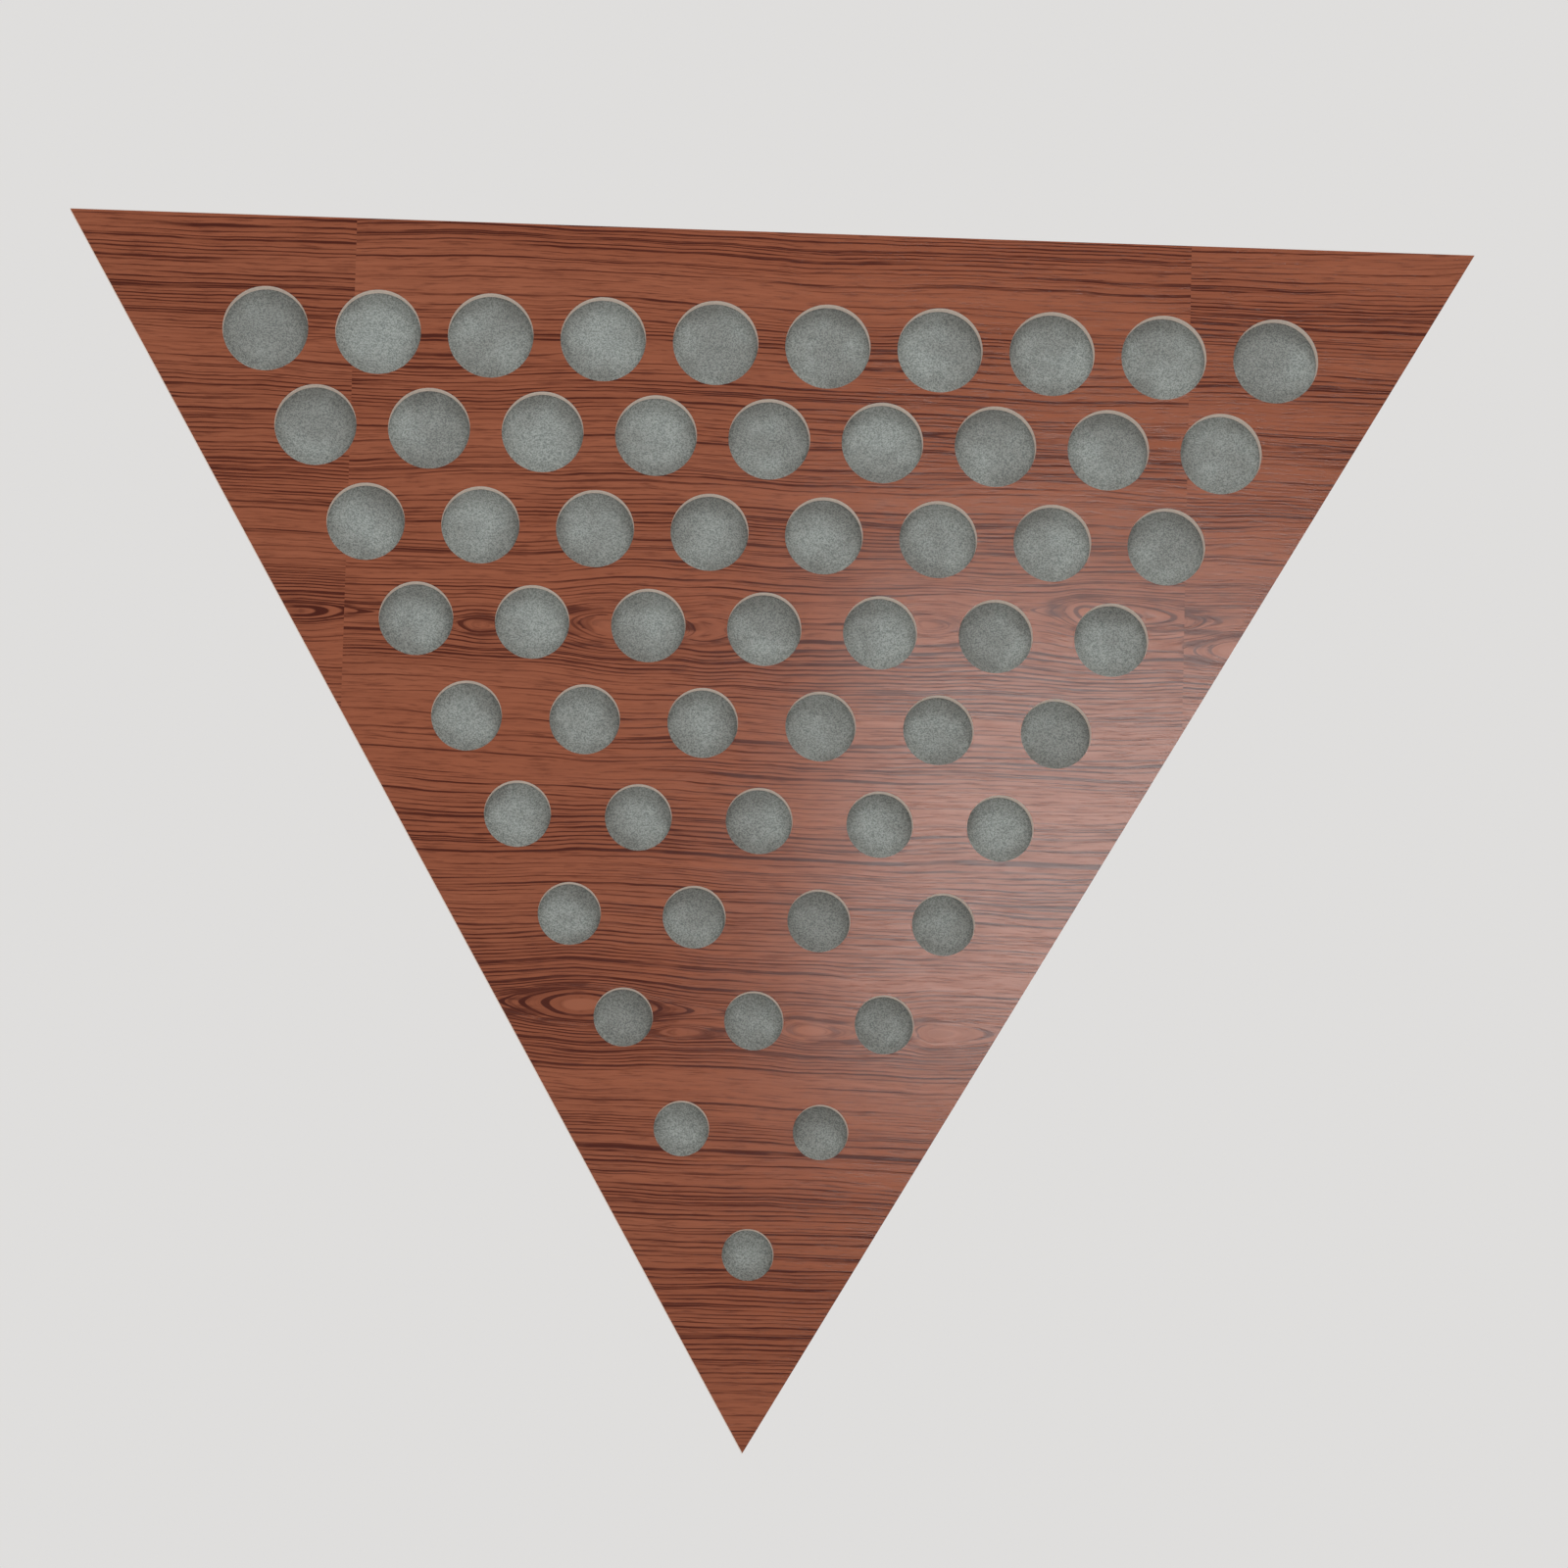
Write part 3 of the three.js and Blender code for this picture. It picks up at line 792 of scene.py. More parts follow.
def pine(settings):
    """Planed pine: growth rings that show as lines along a batten and as arcs on its ends."""
    material, graph, shader = surface("Planed pine", {"Specular IOR Level": 0.35})
    place = graph.modelled_place()
    along, into, through = graph.split(place)
    drift = (graph.noise(graph.scaled(place, (5, 22, 22)), 1, 2) - 0.5) * (14 * MM)
    aside = into - 62 * MM + drift
    below = through + 44 * MM
    knot = graph.group(knot_group(), {
        "Along": along, "Height": graph.math("SQRT", aside ** 2 + below ** 2),
        "Centre": (65 * MM, 56 * MM, 0), "Left": 15 * MM, "Right": 18 * MM, "Radius": 5 * MM,
    })
    phase = knot["Height"] * 270 + graph.noise(place, 16, 2) * 4.0
    year = graph.math("FLOOR", phase)
    side = phase - year
    late = graph.level(side, 0.35, 0.94) * graph.level(side, 1, 0.94)
    richness = graph.noise(graph.vector(year * 0.73, 0), 1, 1)
    late = late * graph.level(richness, 0.35, 0.62, 0.4, 1.1)
    fibres = graph.noise(graph.scaled(place, (22, 900, 900)), 1, 3, 0.6)
    late_tone = linear(settings.pine_late)
    graph.put(shader, {
        "Base Color": graph.layers(
            linear(settings.pine), (late * 0.75, late_tone),
            (graph.level(fibres, 0.35, 0.75, 0, 0.3), late_tone),
            (knot["Heart"] * 0.8, shaded(late_tone, 0.35)),
        ),
        "Roughness": graph.level(fibres, 0.3, 0.7, 0.58, 0.74),
        "Normal": graph.bump(fibres + late * 0.5, 0.3, 0.12 * MM),
    })
    return material


def plated(name, shade, roughness, amount, tint=None):
    """Plated steel, scratched and dulled by handling."""
    material, graph, shader = surface(name, {"Metallic": 1})
    place = graph.modelled_place()
    marks = graph.group(scratch_group(), {"Place": place, "Amount": amount})
    tone = linear(shade)
    second = linear(tint) if tint else shaded(tone, 0.86)
    clouds = graph.level(graph.noise(place, 150, 2), 0.38, 0.62)
    graph.put(shader, {
        "Base Color": graph.mix(clouds, tone, second),
        "Roughness": graph.math("MULTIPLY_ADD", marks["Dulling"], 0.35, roughness),
        "Normal": graph.bump(marks["Height"], 0.12, 0.02 * MM),
    })
    return material


def stone_wool(settings):
    """Mineral wool: layered along the panel, torn and fibrous."""
    material, graph, shader = surface(
        "Mineral wool", {"Roughness": 1, "Specular IOR Level": 0.1, "Sheen Weight": 0.2}
    )
    place = graph.panel_place()
    fibres = graph.group(fibre_group(), {"Place": place, "Fineness": 420, "Length": 9})
    layers = graph.noise(graph.scaled(place, (30, 30, 420)), 1, 3, 0.6)
    wool, dark = linear(settings.wool), linear(settings.wool_dark)
    graph.put(shader, {
        "Base Color": graph.layers(
            wool, (graph.level(layers, 0.35, 0.68), dark), (fibres["Mask"] * 0.5, wool),
            (graph.level(fibres["Mottle"], 0.62, 0.4, 0, 0.5), dark),
        ),
        "Normal": graph.bump(fibres["Height"] + layers, 0.7, 0.8 * MM),
    })
    return material


def black_fleece(settings):
    """Spun fleece: near black, with a web of fine fibres."""
    material, graph, shader = surface("Black fleece", {
        "Roughness": 0.9, "Specular IOR Level": 0.15, "Sheen Weight": 0.08,
        "Sheen Roughness": 0.5,
    })
    place = graph.modelled_place()
    fibres = graph.group(fibre_group(), {"Place": place, "Fineness": 520, "Length": 14})
    fleece = linear(settings.fleece)
    thick = graph.level(graph.noise(place, 60, 3), 0.35, 0.68, 0, 0.35)
    graph.put(shader, {
        "Base Color": graph.layers(
            fleece, (fibres["Mask"] * 0.55, shaded(fleece, 2.4)), (thick, shaded(fleece, 0.6))
        ),
        "Normal": graph.bump(fibres["Height"], 0.5, 0.3 * MM),
    })
    return material


@once
def yellow_zinc():
    shade = bpy.context.scene.bass_trap_frame.yellow_zinc
    return plated("Yellow zinc plate", shade, 0.30, 0.5, (0.76, 0.62, 0.46))


@once
def bright_zinc():
    return plated("Bright zinc plate", bpy.context.scene.bass_trap_frame.zinc, 0.30, 0.6)


# Front panel

# The face of the felt: how far apart its bumps are, and how smooth they are
FELT_BUMPS, FELT_SMOOTHNESS = 7 * MM, 0.8


@once
def panel_drill():
    """Every hole of the panel as one cutter, long enough for the board and for its print."""
    sides = bpy.context.scene.bass_trap_panel.hole_sides
    front = extent("decor_face", PANEL)[1].z
    drill = joined("drill", [
        prism("drill", radius, -OVERRUN, front + OVERRUN, sides, centre)
        for centre, radius in drilled_holes("decor_face")
    ])
    drill.hide_render = True
    return drill


def perforated(name, node):
    """A triangular plate with the panel's holes, the size of a CAD node."""
    low, high = extent(node, PANEL)
    plate = prism(name, 2 * high.y, low.z, high.z, 3, turn=math.pi)
    cut(plate, [copy_of(panel_drill(), "drill copy")])
    return plate


def strike_pockets(settings):
    """Cutters for the strike discs and their screws, in the panel's back."""
    low, high = extent("ceiling_strike_disc_left", PANEL)
    radius = (high.x - low.x) / 2 + settings.pocket_gap
    pilot = settings.screw_shank / 2 + settings.screw_gap
    depth = high.z + settings.pocket_gap
    tip = extent("ceiling_strike_screw_left", PANEL)[1].z + settings.pocket_gap
    cutters = []
    for turn in SIDES.values():
        for hand in HANDS:
            middle = centre_of(f"ceiling_strike_disc_{hand}", PANEL)
            steps = [(radius, -OVERRUN, depth), (pilot, depth, tip)]
            cutter = stepped("pocket", steps, settings.turned_sides)
            spot = Matrix.Rotation(turn, 4, "Z") @ Matrix.Translation((middle.x, middle.y, 0))
            cutters.append(moved(cutter, spot))
    return cutters


class BASSTRAP_OT_drilled_board(bpy.types.Operator):
    """Makes the board of the front panel, drilled, with pockets for the strike discs"""

    bl_idname = "bass_trap.drilled_board"
    bl_label = "Drilled board"

    def execute(self, context):
        board = perforated("drilled_board", "panel_core")
        cut(board, strike_pockets(context.scene.bass_trap_frame))
        smooth(board)
        moved(board, PANEL)
        material = fibreboard(context.scene.bass_trap_panel)
        finished(board, "front_panel", material, "panel_core")
        return {"FINISHED"}


class BASSTRAP_OT_wood_print_face(bpy.types.Operator):
    """Makes the wood print on the front of the board"""

    bl_idname = "bass_trap.wood_print_face"
    bl_label = "Wood print face"

    def execute(self, context):
        face = perforated("wood_print_face", "decor_face")
        smooth(face)
        moved(face, PANEL)
        material = wood_print(context.scene.bass_trap_panel)
        finished(face, "front_panel", material, "decor_face")
        discard(panel_drill())
        return {"FINISHED"}


class BASSTRAP_OT_felt_sheet(bpy.types.Operator):
    """Makes the felt that lies glued behind the holes"""

    bl_idname = "bass_trap.felt_sheet"
    bl_label = "Felt sheet"

    def execute(self, context):
        settings = context.scene.bass_trap_panel
        low, high = extent("felt_lining", PANEL)
        felt = primitive(
            "felt_sheet", bpy.ops.mesh.primitive_circle_add, vertices=3, radius=2 * high.y,
            fill_type="NGON", location=(0, 0, high.z), rotation=(0, 0, math.pi),
        )
        editing(felt, lambda: bpy.ops.mesh.subdivide(number_cuts=settings.felt_cuts))
        for vertex in felt.data.vertices:
            dip = fractal(vertex.co, FELT_BUMPS, FELT_SMOOTHNESS)
            vertex.co.z -= settings.felt_unevenness * min(abs(dip), 1)
        thickness = high.z - low.z - settings.felt_unevenness
        apply(felt, "SOLIDIFY", offset=-1, thickness=thickness)
        smooth(felt, angle=50)
        moved(felt, PANEL)
        finished(felt, "front_panel", grey_felt(settings), "felt_lining")
        return {"FINISHED"}


# Batten frame

# What each further batten's grain is shifted by: along it, into it and through it
GRAIN_SHIFT = Vector((0.9, 6 * MM, -11 * MM))

# A screw's shape. As shares of its shank: the radius of its core and the pitch of its thread. As
# shares of its head: the rim, and half the length, half the width and the depth of an arm of its
# cross recess. At its bottom an arm narrows to these shares, along and across.
CORE, PITCH = 0.36, 0.42
RIM, ARM_LENGTH, ARM_WIDTH, ARM_DEPTH = 0.02, 0.27, 0.075, 0.30
ARM_TAPER = (0.45, 0.7)


def batten_cutters(settings):
    """Cutters for a batten's fleece rebate, fixing holes, magnets and angle screws."""
    low, high = extent("ceiling_batten", TOP_SIDE)
    sides, under = settings.turned_sides, low.z - OVERRUN
    rebate = box(
        "rebate", (low.x, high.y - settings.rebate_width, -settings.rebate_depth),
        (high.x, high.y + OVERRUN, OVERRUN),
    )
    cutters = [moved(rebate, TOP_SIDE)]
    shank, head = settings.fixing_shank / 2, settings.fixing_head / 2
    for sign in (-1, 1):
        steps = [
            (head, under, low.z + settings.head_sink),
            (shank, low.z + (head - shank + settings.head_sink), OVERRUN),
        ]
        spot = Vector((sign * settings.fixing_spacing / 2, settings.fixing_inset, 0))
        hole = stepped("fixing hole", steps, sides)
        cutters.append(moved(hole, TOP_SIDE @ Matrix.Translation(spot)))
    pilot = settings.screw_shank / 2 + settings.screw_gap
    for hand in HANDS:
        magnet_low, magnet_high = extent(f"ceiling_magnet_{hand}", PANEL)
        middle = (magnet_low + magnet_high) / 2
        radius = (magnet_high.x - magnet_low.x) / 2 + settings.pocket_gap
        depth = magnet_low.z - settings.pocket_gap
        tip = extent(f"ceiling_magnet_screw_{hand}", PANEL)[0].z - settings.pocket_gap
        pocket = stepped("pocket", [(pilot, tip, depth), (radius, depth, OVERRUN)], sides)
        cutters.append(moved(pocket, PANEL @ Matrix.Translation((middle.x, middle.y, 0))))
    pilot = settings.angle_shank / 2 + settings.screw_gap
    for corner, node in (("right", "right_bracket_screw_1"), ("left", "left_bracket_screw_2")):
        place = Matrix.Rotation(CORNERS[corner], 4, OUT) @ BACK_EDGE
        foot = TOP_SIDE.inverted() @ place @ centre_of(node, place)
        hole = stepped("screw pilot", [(pilot, under, -settings.rebate_depth * 2)], sides)
        cutters.append(moved(hole, TOP_SIDE @ Matrix.Translation((foot.x, foot.y, 0))))
    return cutters


class BASSTRAP_OT_battens(bpy.types.Operator):
    """Makes the three mitred battens of the frame"""

    bl_idname = "bass_trap.battens"
    bl_label = "Battens"

    def execute(self, context):
        settings = context.scene.bass_trap_frame
        low, high = extent("ceiling_batten", TOP_SIDE)
        reach = high.x + settings.tip_blunt
        batten = box("batten", (-reach, low.y - high.y, low.z), (reach, high.y, 0))
        moved(batten, TOP_SIDE)
        cut_off(batten, OUT * (CORNER_DEPTH - settings.seat_gap), OUT)
        for sign in (-1, 1):
            mitre = Vector((sign * DIAGONAL, DIAGONAL, -1)).normalized()
            cut_off(batten, -mitre * settings.mitre_gap, mitre)
            cut_off(batten, (sign * high.x, 0, 0), (sign, 0, 0))
        ease(batten, settings.arris, segments=3)
        cut(batten, batten_cutters(settings))
        smooth(batten)
        material = pine(settings)
        for index, (side, turn) in enumerate(SIDES.items()):
            piece = copy_of(batten, f"{side}_pine_batten")
            keep_place(piece, GRAIN_SHIFT * index, TOP_SIDE)
            moved(piece, Matrix.Rotation(turn, 4, OUT))
            finished(piece, "wall_frame", material, f"{side}_batten")
        discard(batten)
        return {"FINISHED"}


def drilled_disc(name, radius, thickness, settings, head_radius):
    """A disc from z = 0 down, with eased rims and a countersunk hole."""
    rim = settings.disc_arris
    eased = rim * (1 - DIAGONAL)
    hole = settings.screw_shank / 2 + settings.screw_gap
    sink = head_radius + settings.screw_gap
    bottom, mouth = -thickness, -settings.head_sink
    profile = [
        (hole, bottom), (hole, mouth - (sink - hole)), (sink, mouth), (sink, 0),
        (radius - rim, 0), (radius - eased, -eased), (radius, -rim),
        (radius, bottom + rim), (radius - eased, bottom + eased), (radius - rim, bottom),
    ]
    return turned(name, profile, settings.turned_sides, ring=True)


def countersunk_screw(name, shank, head, reach, settings):
    """A screw with its head's face at z = 0: cone, threaded shank, point and cross recess."""
    core, crest, pitch = shank * CORE, shank / 2, shank * PITCH
    cone, rim = (head - shank) / 2, head * RIM
    start = -reach + shank
    profile = [(0, -reach), (core, start)]
    for thread in range(int((reach - cone - shank) / pitch)):
        level = start + thread * pitch
        profile += [
            (core, level + pitch * 0.25), (crest, level + pitch * 0.5),
            (core, level + pitch * 0.75),
        ]
    profile += [(core, -cone - rim), (head / 2, -rim), (head / 2 - rim, 0), (0, 0)]
    screw = turned(name, profile, settings.turned_sides)
    wing, leg, depth = head * ARM_LENGTH, head * ARM_WIDTH, head * ARM_DEPTH
    for angle in (0, math.pi / 2):
        arm = box("arm", (-wing, -leg, -depth), (wing, leg, OVERRUN))
        for vertex in arm.data.vertices:
            if vertex.co.z < 0:
                vertex.co.x *= ARM_TAPER[0]
                vertex.co.y *= ARM_TAPER[1]
        cut(screw, [moved(arm, Matrix.Rotation(angle, 4, "Z"))])
    smooth(screw)
    return screw


def screw_sizes(node, place, axis=2):
    """Head diameter and whole length of a CAD screw that lies along one of a frame's axes."""
    size = [high - low for low, high in zip(*extent(node, place))]
    reach = size.pop(axis)
    return max(size), reach


def disc_fixings(settings, nodes, names, body, finish, turned_over=False):
    """Makes a disc and its screw, and copies them to both ends of each side. They face the way
    that the panel's front does, or turned over, the way that its back does."""
    head, reach = screw_sizes(f"ceiling_{nodes[1]}_left", PANEL)
    low, high = extent(f"ceiling_{nodes[0]}_left", PANEL)
    disc = drilled_disc("disc", (high.x - low.x) / 2, high.z - low.z, settings, head / 2)
    smooth(disc)
    screw = countersunk_screw("screw", settings.screw_shank, head, reach, settings)
    face, sunk = (low.z, settings.head_sink) if turned_over else (high.z, -settings.head_sink)
    over = Matrix.Rotation(math.pi if turned_over else 0, 4, "X")
    for side, turn in SIDES.items():
        place = Matrix.Rotation(turn, 4, OUT) @ PANEL
        for hand in HANDS:
            middle = centre_of(f"ceiling_{nodes[0]}_{hand}", PANEL)
            for part, node, name, level, material, slot in (
                (disc, nodes[0], names[0], face, *finish),
                (screw, nodes[1], names[1], face + sunk, yellow_zinc(), "passivated_zinc"),
            ):
                piece = copy_of(part, f"{side}_{name}_{hand}")
                keep_place(piece, middle)
                spot = Matrix.Translation((middle.x, middle.y, level))
                moved(piece, place @ spot @ over)
                finished(piece, body, material, f"{side}_{node}_{hand}")
    discard(disc, screw)


class BASSTRAP_OT_magnets(bpy.types.Operator):
    """Makes the six ring magnets in the battens, and their screws"""

    bl_idname = "bass_trap.magnets"
    bl_label = "Magnets"

    def execute(self, context):
        settings = context.scene.bass_trap_frame
        nickel = plated("Nickel plate", settings.nickel, 0.16, 0.5)
        disc_fixings(
            settings, ("magnet", "magnet_screw"), ("ring_magnet", "magnet_fixing"),
            "wall_frame", (nickel, "nickel"),
        )
        return {"FINISHED"}


class BASSTRAP_OT_strikes(bpy.types.Operator):
    """Makes the six steel discs in the panel's back, and their screws"""

    bl_idname = "bass_trap.strikes"
    bl_label = "Strike discs"

    def execute(self, context):
        disc_fixings(
            context.scene.bass_trap_frame, ("strike_disc", "strike_screw"),
            ("strike_plate", "strike_fixing"), "front_panel", (bright_zinc(), "zinc"),
            turned_over=True,
        )
        return {"FINISHED"}


class BASSTRAP_OT_angles(bpy.types.Operator):
    """Makes the three folded steel angles inside the frame's corners, and their screws"""

    bl_idname = "bass_trap.angles"
    bl_label = "Steel angles"

    def execute(self, context):
        settings = context.scene.bass_trap_frame
        low, high = extent("lower_corner_bracket", BACK_EDGE)
        sheet, bend = settings.angle_thickness, settings.angle_bend
        angle = box("angle", low, (high.x, low.y + sheet, high.z))
        leg = box("leg", (low.x, low.y + sheet, low.z), (low.x + sheet, high.y, high.z))
        cut(angle, [leg], "UNION")
        editing(angle, flatten)
        self.round_fold(angle, (low.x, low.y), bend + sheet)
        self.round_fold(angle, (low.x + sheet, low.y + sheet), bend)
        head, reach = screw_sizes("lower_bracket_screw_1", BACK_EDGE, axis=0)
        hole, sink = settings.angle_shank / 2 + settings.screw_gap, head / 2 + settings.screw_gap
        steps = [
            (hole, -sheet - OVERRUN, hole - sink - settings.head_sink),
            (sink, -settings.head_sink, OVERRUN),
        ]
        out, along = low.x + settings.angle_screw_inset, (low.z + high.z) / 2
        cut(angle, [
            moved(stepped("hole", steps, settings.turned_sides), spot)
            for spot in self.screw_places(out, along, low.x + sheet)
        ])
        ease(angle, settings.angle_arris, angle=50)
        smooth(angle)
        screw = countersunk_screw("screw", settings.angle_shank, head, reach, settings)
        places = self.screw_places(out, along, low.x + sheet - settings.head_sink)
        for corner, turn in CORNERS.items():
            place = Matrix.Rotation(turn, 4, OUT) @ BACK_EDGE
            piece = copy_of(angle, f"{corner}_steel_angle")
            keep_place(piece, (turn, 0, 0))
            moved(piece, place)
            finished(piece, "wall_frame", bright_zinc(), f"{corner}_corner_bracket")
            for which, spot in enumerate(places, 1):
                piece = copy_of(screw, f"{corner}_angle_fixing_{which}")
                keep_place(piece, (turn, which * 10 * MM, 0))
                moved(piece, place @ spot)
                node = f"{corner}_bracket_screw_{which}"
                finished(piece, "wall_frame", yellow_zinc(), node)
        discard(angle, screw)
        return {"FINISHED"}

    def screw_places(self, out, along, level):
        """Where the two screws enter the angle, with their heads' faces at a level."""
        return (
            Matrix.Translation((level, out, along)) @ Matrix.Rotation(math.pi / 2, 4, "Y"),
            Matrix.Translation((out, level, along)) @ Matrix.Rotation(-math.pi / 2, 4, "X"),
        )

    def round_fold(self, angle, corner, radius):
        """Bevels the one upright edge that runs through a corner of the section."""
        only(angle)
        bpy.ops.object.mode_set(mode="EDIT")
        bpy.ops.mesh.select_mode(type="EDGE")
        bpy.ops.mesh.select_all(action="DESELECT")
        bpy.ops.object.mode_set(mode="OBJECT")
        mesh, found = angle.data, 0
        for edge in mesh.edges:
            ends = [mesh.vertices[i].co for i in edge.vertices]
            edge.select = all((end.xy - Vector(corner)).length < 10 * WELD for end in ends)
            found += edge.select
        if not found:
            raise RuntimeError("the angle has no edge to fold")
        bpy.ops.object.mode_set(mode="EDIT")
        bpy.ops.mesh.bevel(offset=radius, segments=6, affect="EDGES")
        bpy.ops.object.mode_set(mode="OBJECT")


# Absorber

# The face of the wool: how far apart its torn fibres and its soft swells are, how smooth the
# fibres are, and how much each of the two counts
TORN_SIZE, TORN_SMOOTHNESS, TORN_SHARE = 6 * MM, 0.7, 0.7
SWELL_SIZE, SWELL_SHARE = 45 * MM, 0.5

# The fleece is held at the batten and at its other edges, and free from these distances on. Then
# the width of its folds, the length over which they change, the size of its slack, how much folds
# and slack count, and how much of its thickness a staple's wire is rounded by.
HELD_BY_BATTEN, HELD_BY_EDGE = 30 * MM, 25 * MM
FOLD_WIDTH, FOLD_CHANGE, SLACK_SIZE = 19 * MM, 140 * MM, 70 * MM
FOLD_SHARE, SLACK_SHARE, WIRE_ROUNDING = 0.4, 0.5, 0.4


class BASSTRAP_OT_wool_slabs(bpy.types.Operator):
    """Makes the five slabs of mineral wool"""

    bl_idname = "bass_trap.wool_slabs"
    bl_label = "Wool slabs"

    def execute(self, context):
        settings = context.scene.bass_trap_absorber
        wool = stone_wool(settings)

        def shrink():
            bpy.ops.transform.shrink_fatten(value=-settings.slab_recess)

        for which in ("slab_1", "slab_2", "slab_3", "slab_4", "tip"):
            node = f"absorber_{which}"
            slab = copy_of(frame["nodes"][node], f"wool_{which}")
            moved(slab, PANEL.inverted())
            editing(slab, weld, flatten, shrink)
            ease(slab, settings.slab_arris)
            apply(slab, "REMESH", mode="VOXEL", voxel_size=settings.slab_mesh)
            normals = [vertex.normal.copy() for vertex in slab.data.vertices]
            for vertex, normal in zip(slab.data.vertices, normals):
                torn = TORN_SHARE * fractal(vertex.co, TORN_SIZE, TORN_SMOOTHNESS)
                swell = SWELL_SHARE * noise.noise(vertex.co / SWELL_SIZE)
                vertex.co += normal * settings.slab_roughness * (torn + swell)
            slab.data.update()
            smooth(slab, angle=180)
            moved(slab, PANEL)
            finished(slab, "wall_frame", wool, node)
        return {"FINISHED"}


class BASSTRAP_OT_fleece_covers(bpy.types.Operator):
    """Makes the three fleece covers and the staples that hold them"""

    bl_idname = "bass_trap.fleece_covers"
    bl_label = "Fleece covers"

    def execute(self, context):
        settings = context.scene.bass_trap_absorber
        low, high = extent("ceiling_fleece", TOP_SIDE)
        cover = self.cover(settings, low, high)
        staples = self.staples(settings, low, high)
        fleece = black_fleece(settings)
        for index, (side, turn) in enumerate(SIDES.items()):
            piece = copy_of(cover, f"{side}_fleece_cover")
            keep_place(piece, (index, 0, 0), TOP_SIDE)
            moved(piece, Matrix.Rotation(turn, 4, OUT))
            finished(piece, "wall_frame", fleece, f"{side}_fleece")
            tacks = copy_of(staples, f"{side}_staples")
            keep_place(tacks, place=TOP_SIDE)
            moved(tacks, Matrix.Rotation(turn, 4, OUT))
            finished(tacks, "wall_frame", bright_zinc())
        discard(cover, staples)
        return {"FINISHED"}

    def cover(self, settings, low, high):
        """One cover: flat along its edges, with soft folds that run in from the batten."""
        cover = primitive(
            "cover", bpy.ops.mesh.primitive_plane_add, size=high.x - low.x,
            location=(0, high.x + low.y, high.z),
        )
        for sign in (-1, 1):
            cut_off(cover, (sign * high.x, low.y, 0), (sign, 1, 0))
        editing(
            cover, lambda: bpy.ops.mesh.subdivide(number_cuts=settings.fleece_cuts),
            bpy.ops.mesh.quads_convert_to_tris,
        )
        for vertex in cover.data.vertices:
            vertex.co.z -= self.sag(settings, low, high, vertex.co)
        apply(cover, "SOLIDIFY", offset=-1, thickness=settings.fleece_thickness)
        editing(cover, turn_out)
        smooth(cover, angle=60)
        return moved(cover, TOP_SIDE)

    def sag(self, settings, low, high, spot):
        """How far the fleece sags at a spot. It is held near the batten and near its other edges,
        its folds run in from the batten and fade, and it is a little slack all over."""
        from_batten = spot.y - low.y
        from_edge = (high.x - abs(spot.x) - from_batten) * DIAGONAL
        held = min(1, from_batten / HELD_BY_BATTEN, from_edge / HELD_BY_EDGE)
        if held <= 0:
            return 0
        fade = math.exp(-from_batten / settings.fold_length)
        folds = noise.noise(Vector((spot.x / FOLD_WIDTH, from_batten / FOLD_CHANGE, 0)))
        slack = noise.noise(Vector((spot.x, spot.y, 0)) / SLACK_SIZE)
        depth = abs(folds) * (FOLD_SHARE + fade) + SLACK_SHARE * abs(slack)
        return settings.fold_depth * held * min(1, depth)

    def staples(self, settings, low, high):
        """A row of flat wire staples through the cover's front edge."""
        half, crown = settings.staple_width / 2, settings.staple_crown
        front = low.y + settings.staple_inset - settings.staple_wire / 2
        back = low.y + settings.staple_inset + settings.staple_wire / 2
        in_row = int((high.x - low.x) / settings.staple_spacing)
        made = []
        for index in range(in_row):
            x = (index - (in_row - 1) / 2) * settings.staple_spacing
            tack = box("tack", (x - half, front, high.z), (x + half, back, high.z + crown))
            ease(tack, crown * WIRE_ROUNDING)
            made.append(tack)
        return moved(joined("staples", made), TOP_SIDE)


# Stage

# Soft lamps: place and aim in the panel's frame, width, height, power and spread in degrees. The
# glint is what the wood print mirrors, and the others light the object from in front and behind.
MIDDLE = (0, -0.06, 0)
LAMPS = {
    "glint": ((0.41, 0.285, 3.2), MIDDLE, (0.46, 0.42), 8.2, 180),
    "high key": ((0.25, 1.1, 1.5), MIDDLE, (0.8, 0.8), 12, 180),
    "low key": ((-0.55, -1.6, 2.4), (0, 0.12, 0), (1.0, 1.0), 1.1, 40),
    "top": ((0.6, 2.4, -1.9), MIDDLE, (1.4, 1.4), 20, 180),
    "right back": ((2.8, -0.2, -1.6), MIDDLE, (1.4, 1.4), 14, 180),
    "left back": ((-2.8, 0.3, -1.3), MIDDLE, (1.4, 1.4), 18, 180),
}


def soft_lamp(name, place, aim, sides, power, spread):
    """A lamp that points at its aim, and that the camera doesn't see."""
    lamp = bpy.data.lights.new(name, "AREA")
    lamp.energy = power
    lamp.shape = "RECTANGLE"
    lamp.size, lamp.size_y = sides
    lamp.spread = math.radians(spread)
    made = bpy.data.objects.new(name, lamp)
    bpy.context.scene.collection.objects.link(made)
    made.location = place
    made.rotation_euler = (aim - place).to_track_quat("-Z", "Y").to_euler()
    made.visible_camera = False


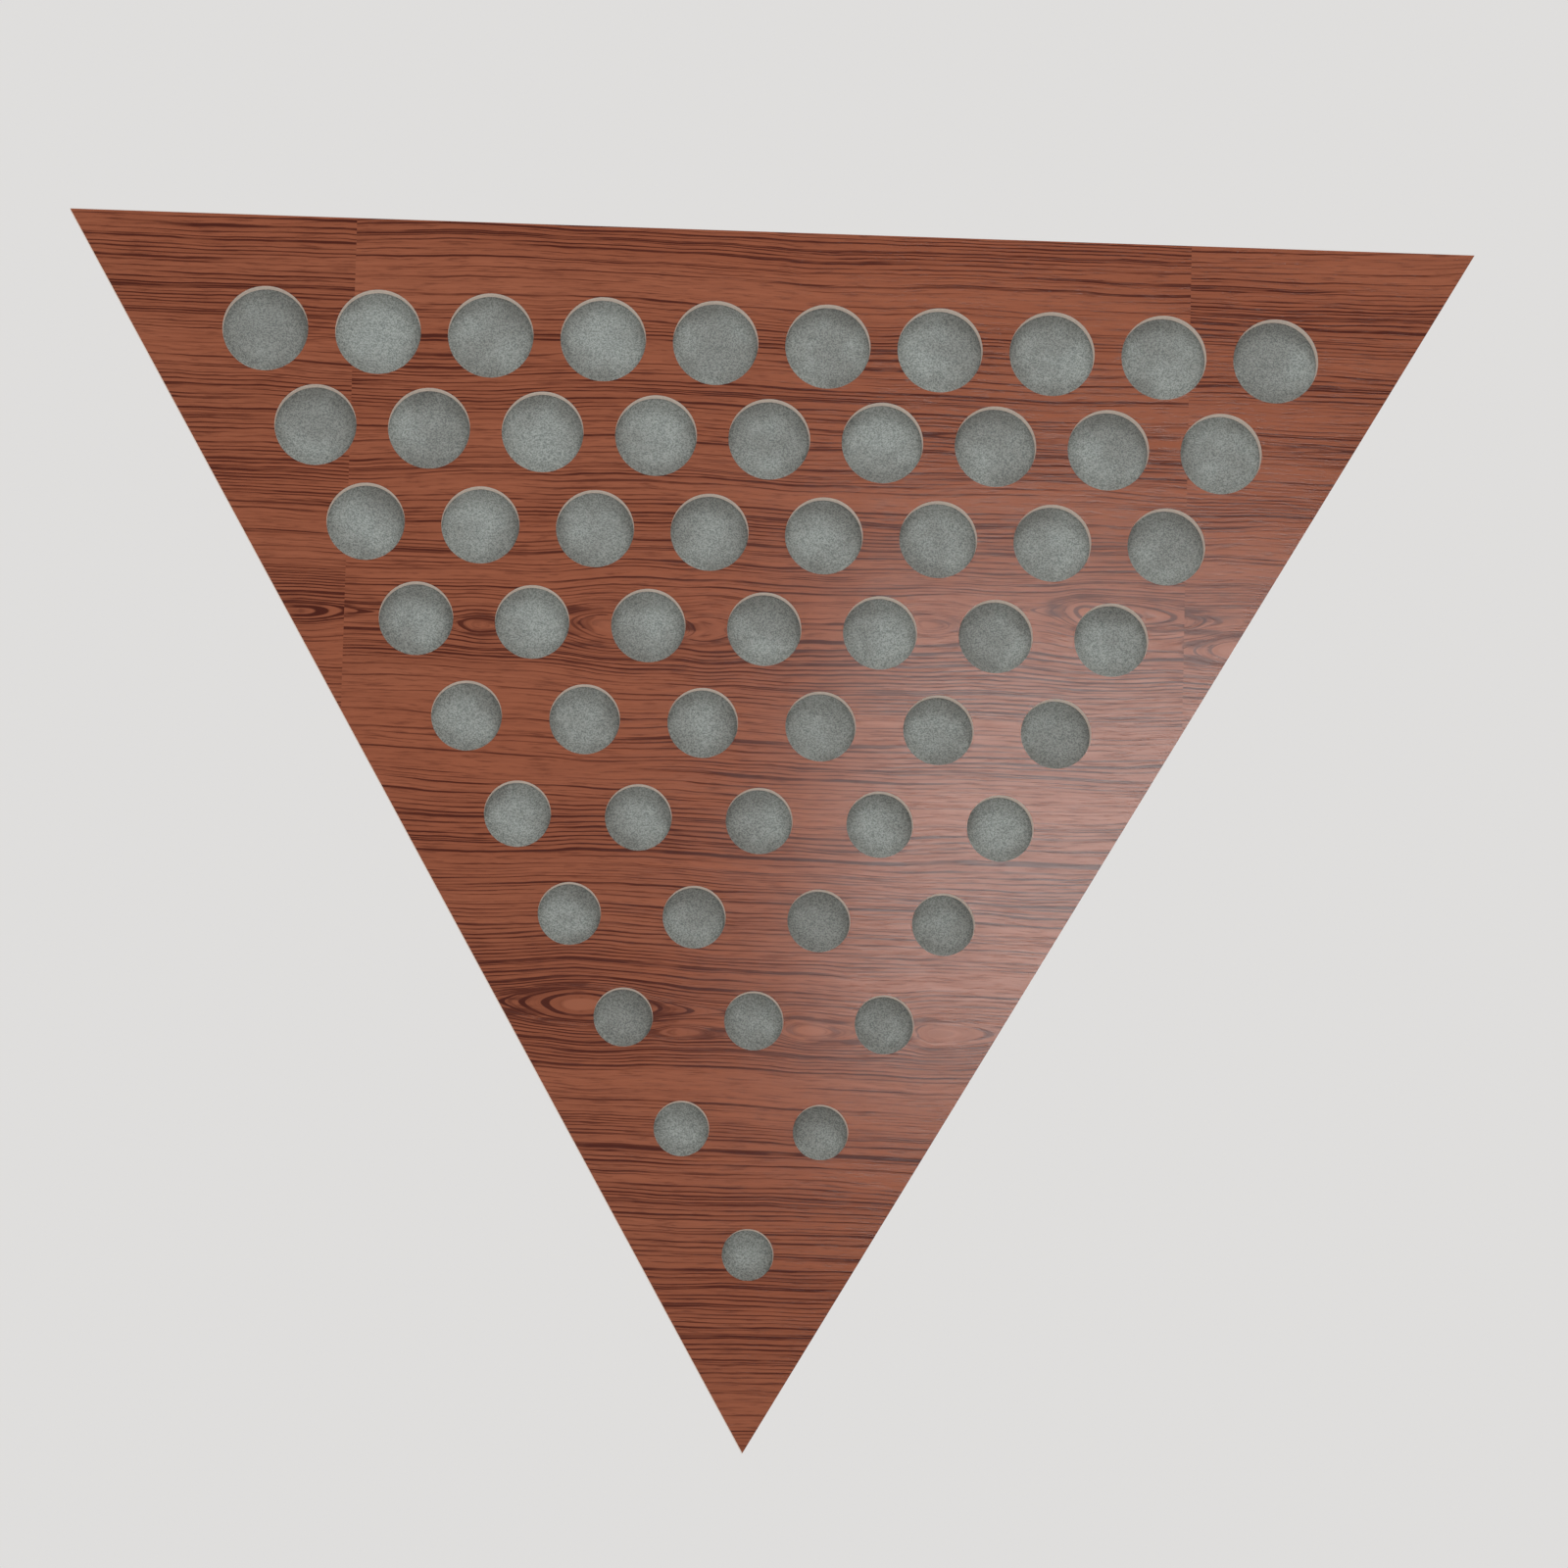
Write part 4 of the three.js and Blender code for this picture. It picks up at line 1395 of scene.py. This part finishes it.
class BASSTRAP_OT_stage(bpy.types.Operator):
    """Sets up the camera, the lamps, the world and the floor"""

    bl_idname = "bass_trap.stage"
    bl_label = "Stage"

    def execute(self, context):
        settings = context.scene.bass_trap_stage
        self.camera(context, settings)
        for name, (place, aim, sides, power, spread) in LAMPS.items():
            soft_lamp(name, PANEL @ Vector(place), PANEL @ Vector(aim), sides, power, spread)
        self.world(context, settings)
        self.floor(settings)
        context.scene.view_settings.view_transform = "Standard"
        return {"FINISHED"}

    def camera(self, context, settings):
        """Stands the camera where the photograph was taken from, with up along the panel."""
        place, aim = Vector(settings.camera), Vector(settings.aim)
        back = (place - aim).normalized()
        right = Vector((0, 1, 0)).cross(back).normalized()
        level = facing(right, back.cross(right), back, place)
        lens = bpy.data.cameras.new("camera")
        lens.lens = settings.lens
        lens.clip_end = 2 * settings.floor_radius
        camera = bpy.data.objects.new("camera", lens)
        context.scene.collection.objects.link(camera)
        camera.matrix_world = PANEL @ level @ Matrix.Rotation(settings.roll, 4, "Z")
        context.scene.camera = camera

    def world(self, context, settings):
        """Even light, with a pale grey that only the camera and reflections see."""
        world = bpy.data.worlds.new("studio")
        context.scene.world = world
        world.use_nodes = True
        graph = Graph(world.node_tree)
        shade = linear(settings.backdrop)
        seen = graph.out("ShaderNodeBackground", {"Color": shade, "Strength": 1})
        light = graph.out(
            "ShaderNodeBackground", {"Color": (1, 1, 1, 1), "Strength": settings.daylight}
        )
        path = graph.add("ShaderNodeLightPath").outputs
        shown = graph.highest(path["Is Camera Ray"], path["Is Glossy Ray"])
        shown = graph.highest(shown, path["Is Transmission Ray"])
        both = graph.out("ShaderNodeMixShader", {0: shown, 1: light, 2: seen})
        graph.add("ShaderNodeOutputWorld", {"Surface": both})

    def floor(self, settings):
        """A plain pale floor, far enough down to lie below the camera."""
        floor = primitive(
            "floor", bpy.ops.mesh.primitive_circle_add, vertices=96, fill_type="NGON",
            radius=settings.floor_radius, location=(0, 0, -settings.floor_drop),
        )
        material, graph, shader = surface(
            "Pale floor", {"Roughness": 0.9, "Specular IOR Level": 0.1}
        )
        pale = linear(settings.backdrop)
        patches = graph.level(graph.noise(graph.object_place(), 1.5, 3), 0.3, 0.7)
        seen = graph.out("ShaderNodeLightPath", key="Is Camera Ray")
        graph.put(shader, {
            "Base Color": graph.mix(patches, pale, shaded(pale, 0.985)),
            "Emission Color": pale,
            "Emission Strength": seen * settings.floor_glow,
        })
        floor.data.materials.append(material)


class BASSTRAP_PT_pieces(bpy.types.Panel):
    """Lists the pieces of the bass trap and their sizes and colours"""

    bl_idname = "BASSTRAP_PT_pieces"
    bl_label = "Corner bass trap"
    bl_space_type = "VIEW_3D"
    bl_region_type = "UI"
    bl_category = "Bass Trap"

    def draw(self, context):
        for group, (_, *operators) in GROUPS.items():
            column = self.layout.column(align=True)
            for operator in operators:
                column.operator(operator.bl_idname)
            settings = getattr(context.scene, group)
            for name in settings.__annotations__:
                column.prop(settings, name)


# Each group of settings, with the operators that use it
GROUPS = {
    "bass_trap_panel": (
        PanelSettings, BASSTRAP_OT_drilled_board, BASSTRAP_OT_wood_print_face,
        BASSTRAP_OT_felt_sheet,
    ),
    "bass_trap_frame": (
        FrameSettings, BASSTRAP_OT_battens, BASSTRAP_OT_magnets, BASSTRAP_OT_strikes,
        BASSTRAP_OT_angles,
    ),
    "bass_trap_absorber": (AbsorberSettings, BASSTRAP_OT_wool_slabs, BASSTRAP_OT_fleece_covers),
    "bass_trap_stage": (StageSettings, BASSTRAP_OT_stage),
}
CLASSES = (*(item for items in GROUPS.values() for item in items), BASSTRAP_PT_pieces)


def register():
    for item in CLASSES:
        bpy.utils.register_class(item)
    for name, (settings, *_) in GROUPS.items():
        setattr(bpy.types.Scene, name, PointerProperty(type=settings))


def unregister():
    for name in GROUPS:
        delattr(bpy.types.Scene, name)
    for item in reversed(CLASSES):
        bpy.utils.unregister_class(item)


def main():
    register()
    bpy.ops.bass_trap.stage()
    bpy.ops.bass_trap.drilled_board()
    bpy.ops.bass_trap.wood_print_face()
    bpy.ops.bass_trap.felt_sheet()
    bpy.ops.bass_trap.battens()
    bpy.ops.bass_trap.magnets()
    bpy.ops.bass_trap.strikes()
    bpy.ops.bass_trap.angles()
    bpy.ops.bass_trap.wool_slabs()
    bpy.ops.bass_trap.fleece_covers()


if __name__ == "__main__":
    main()
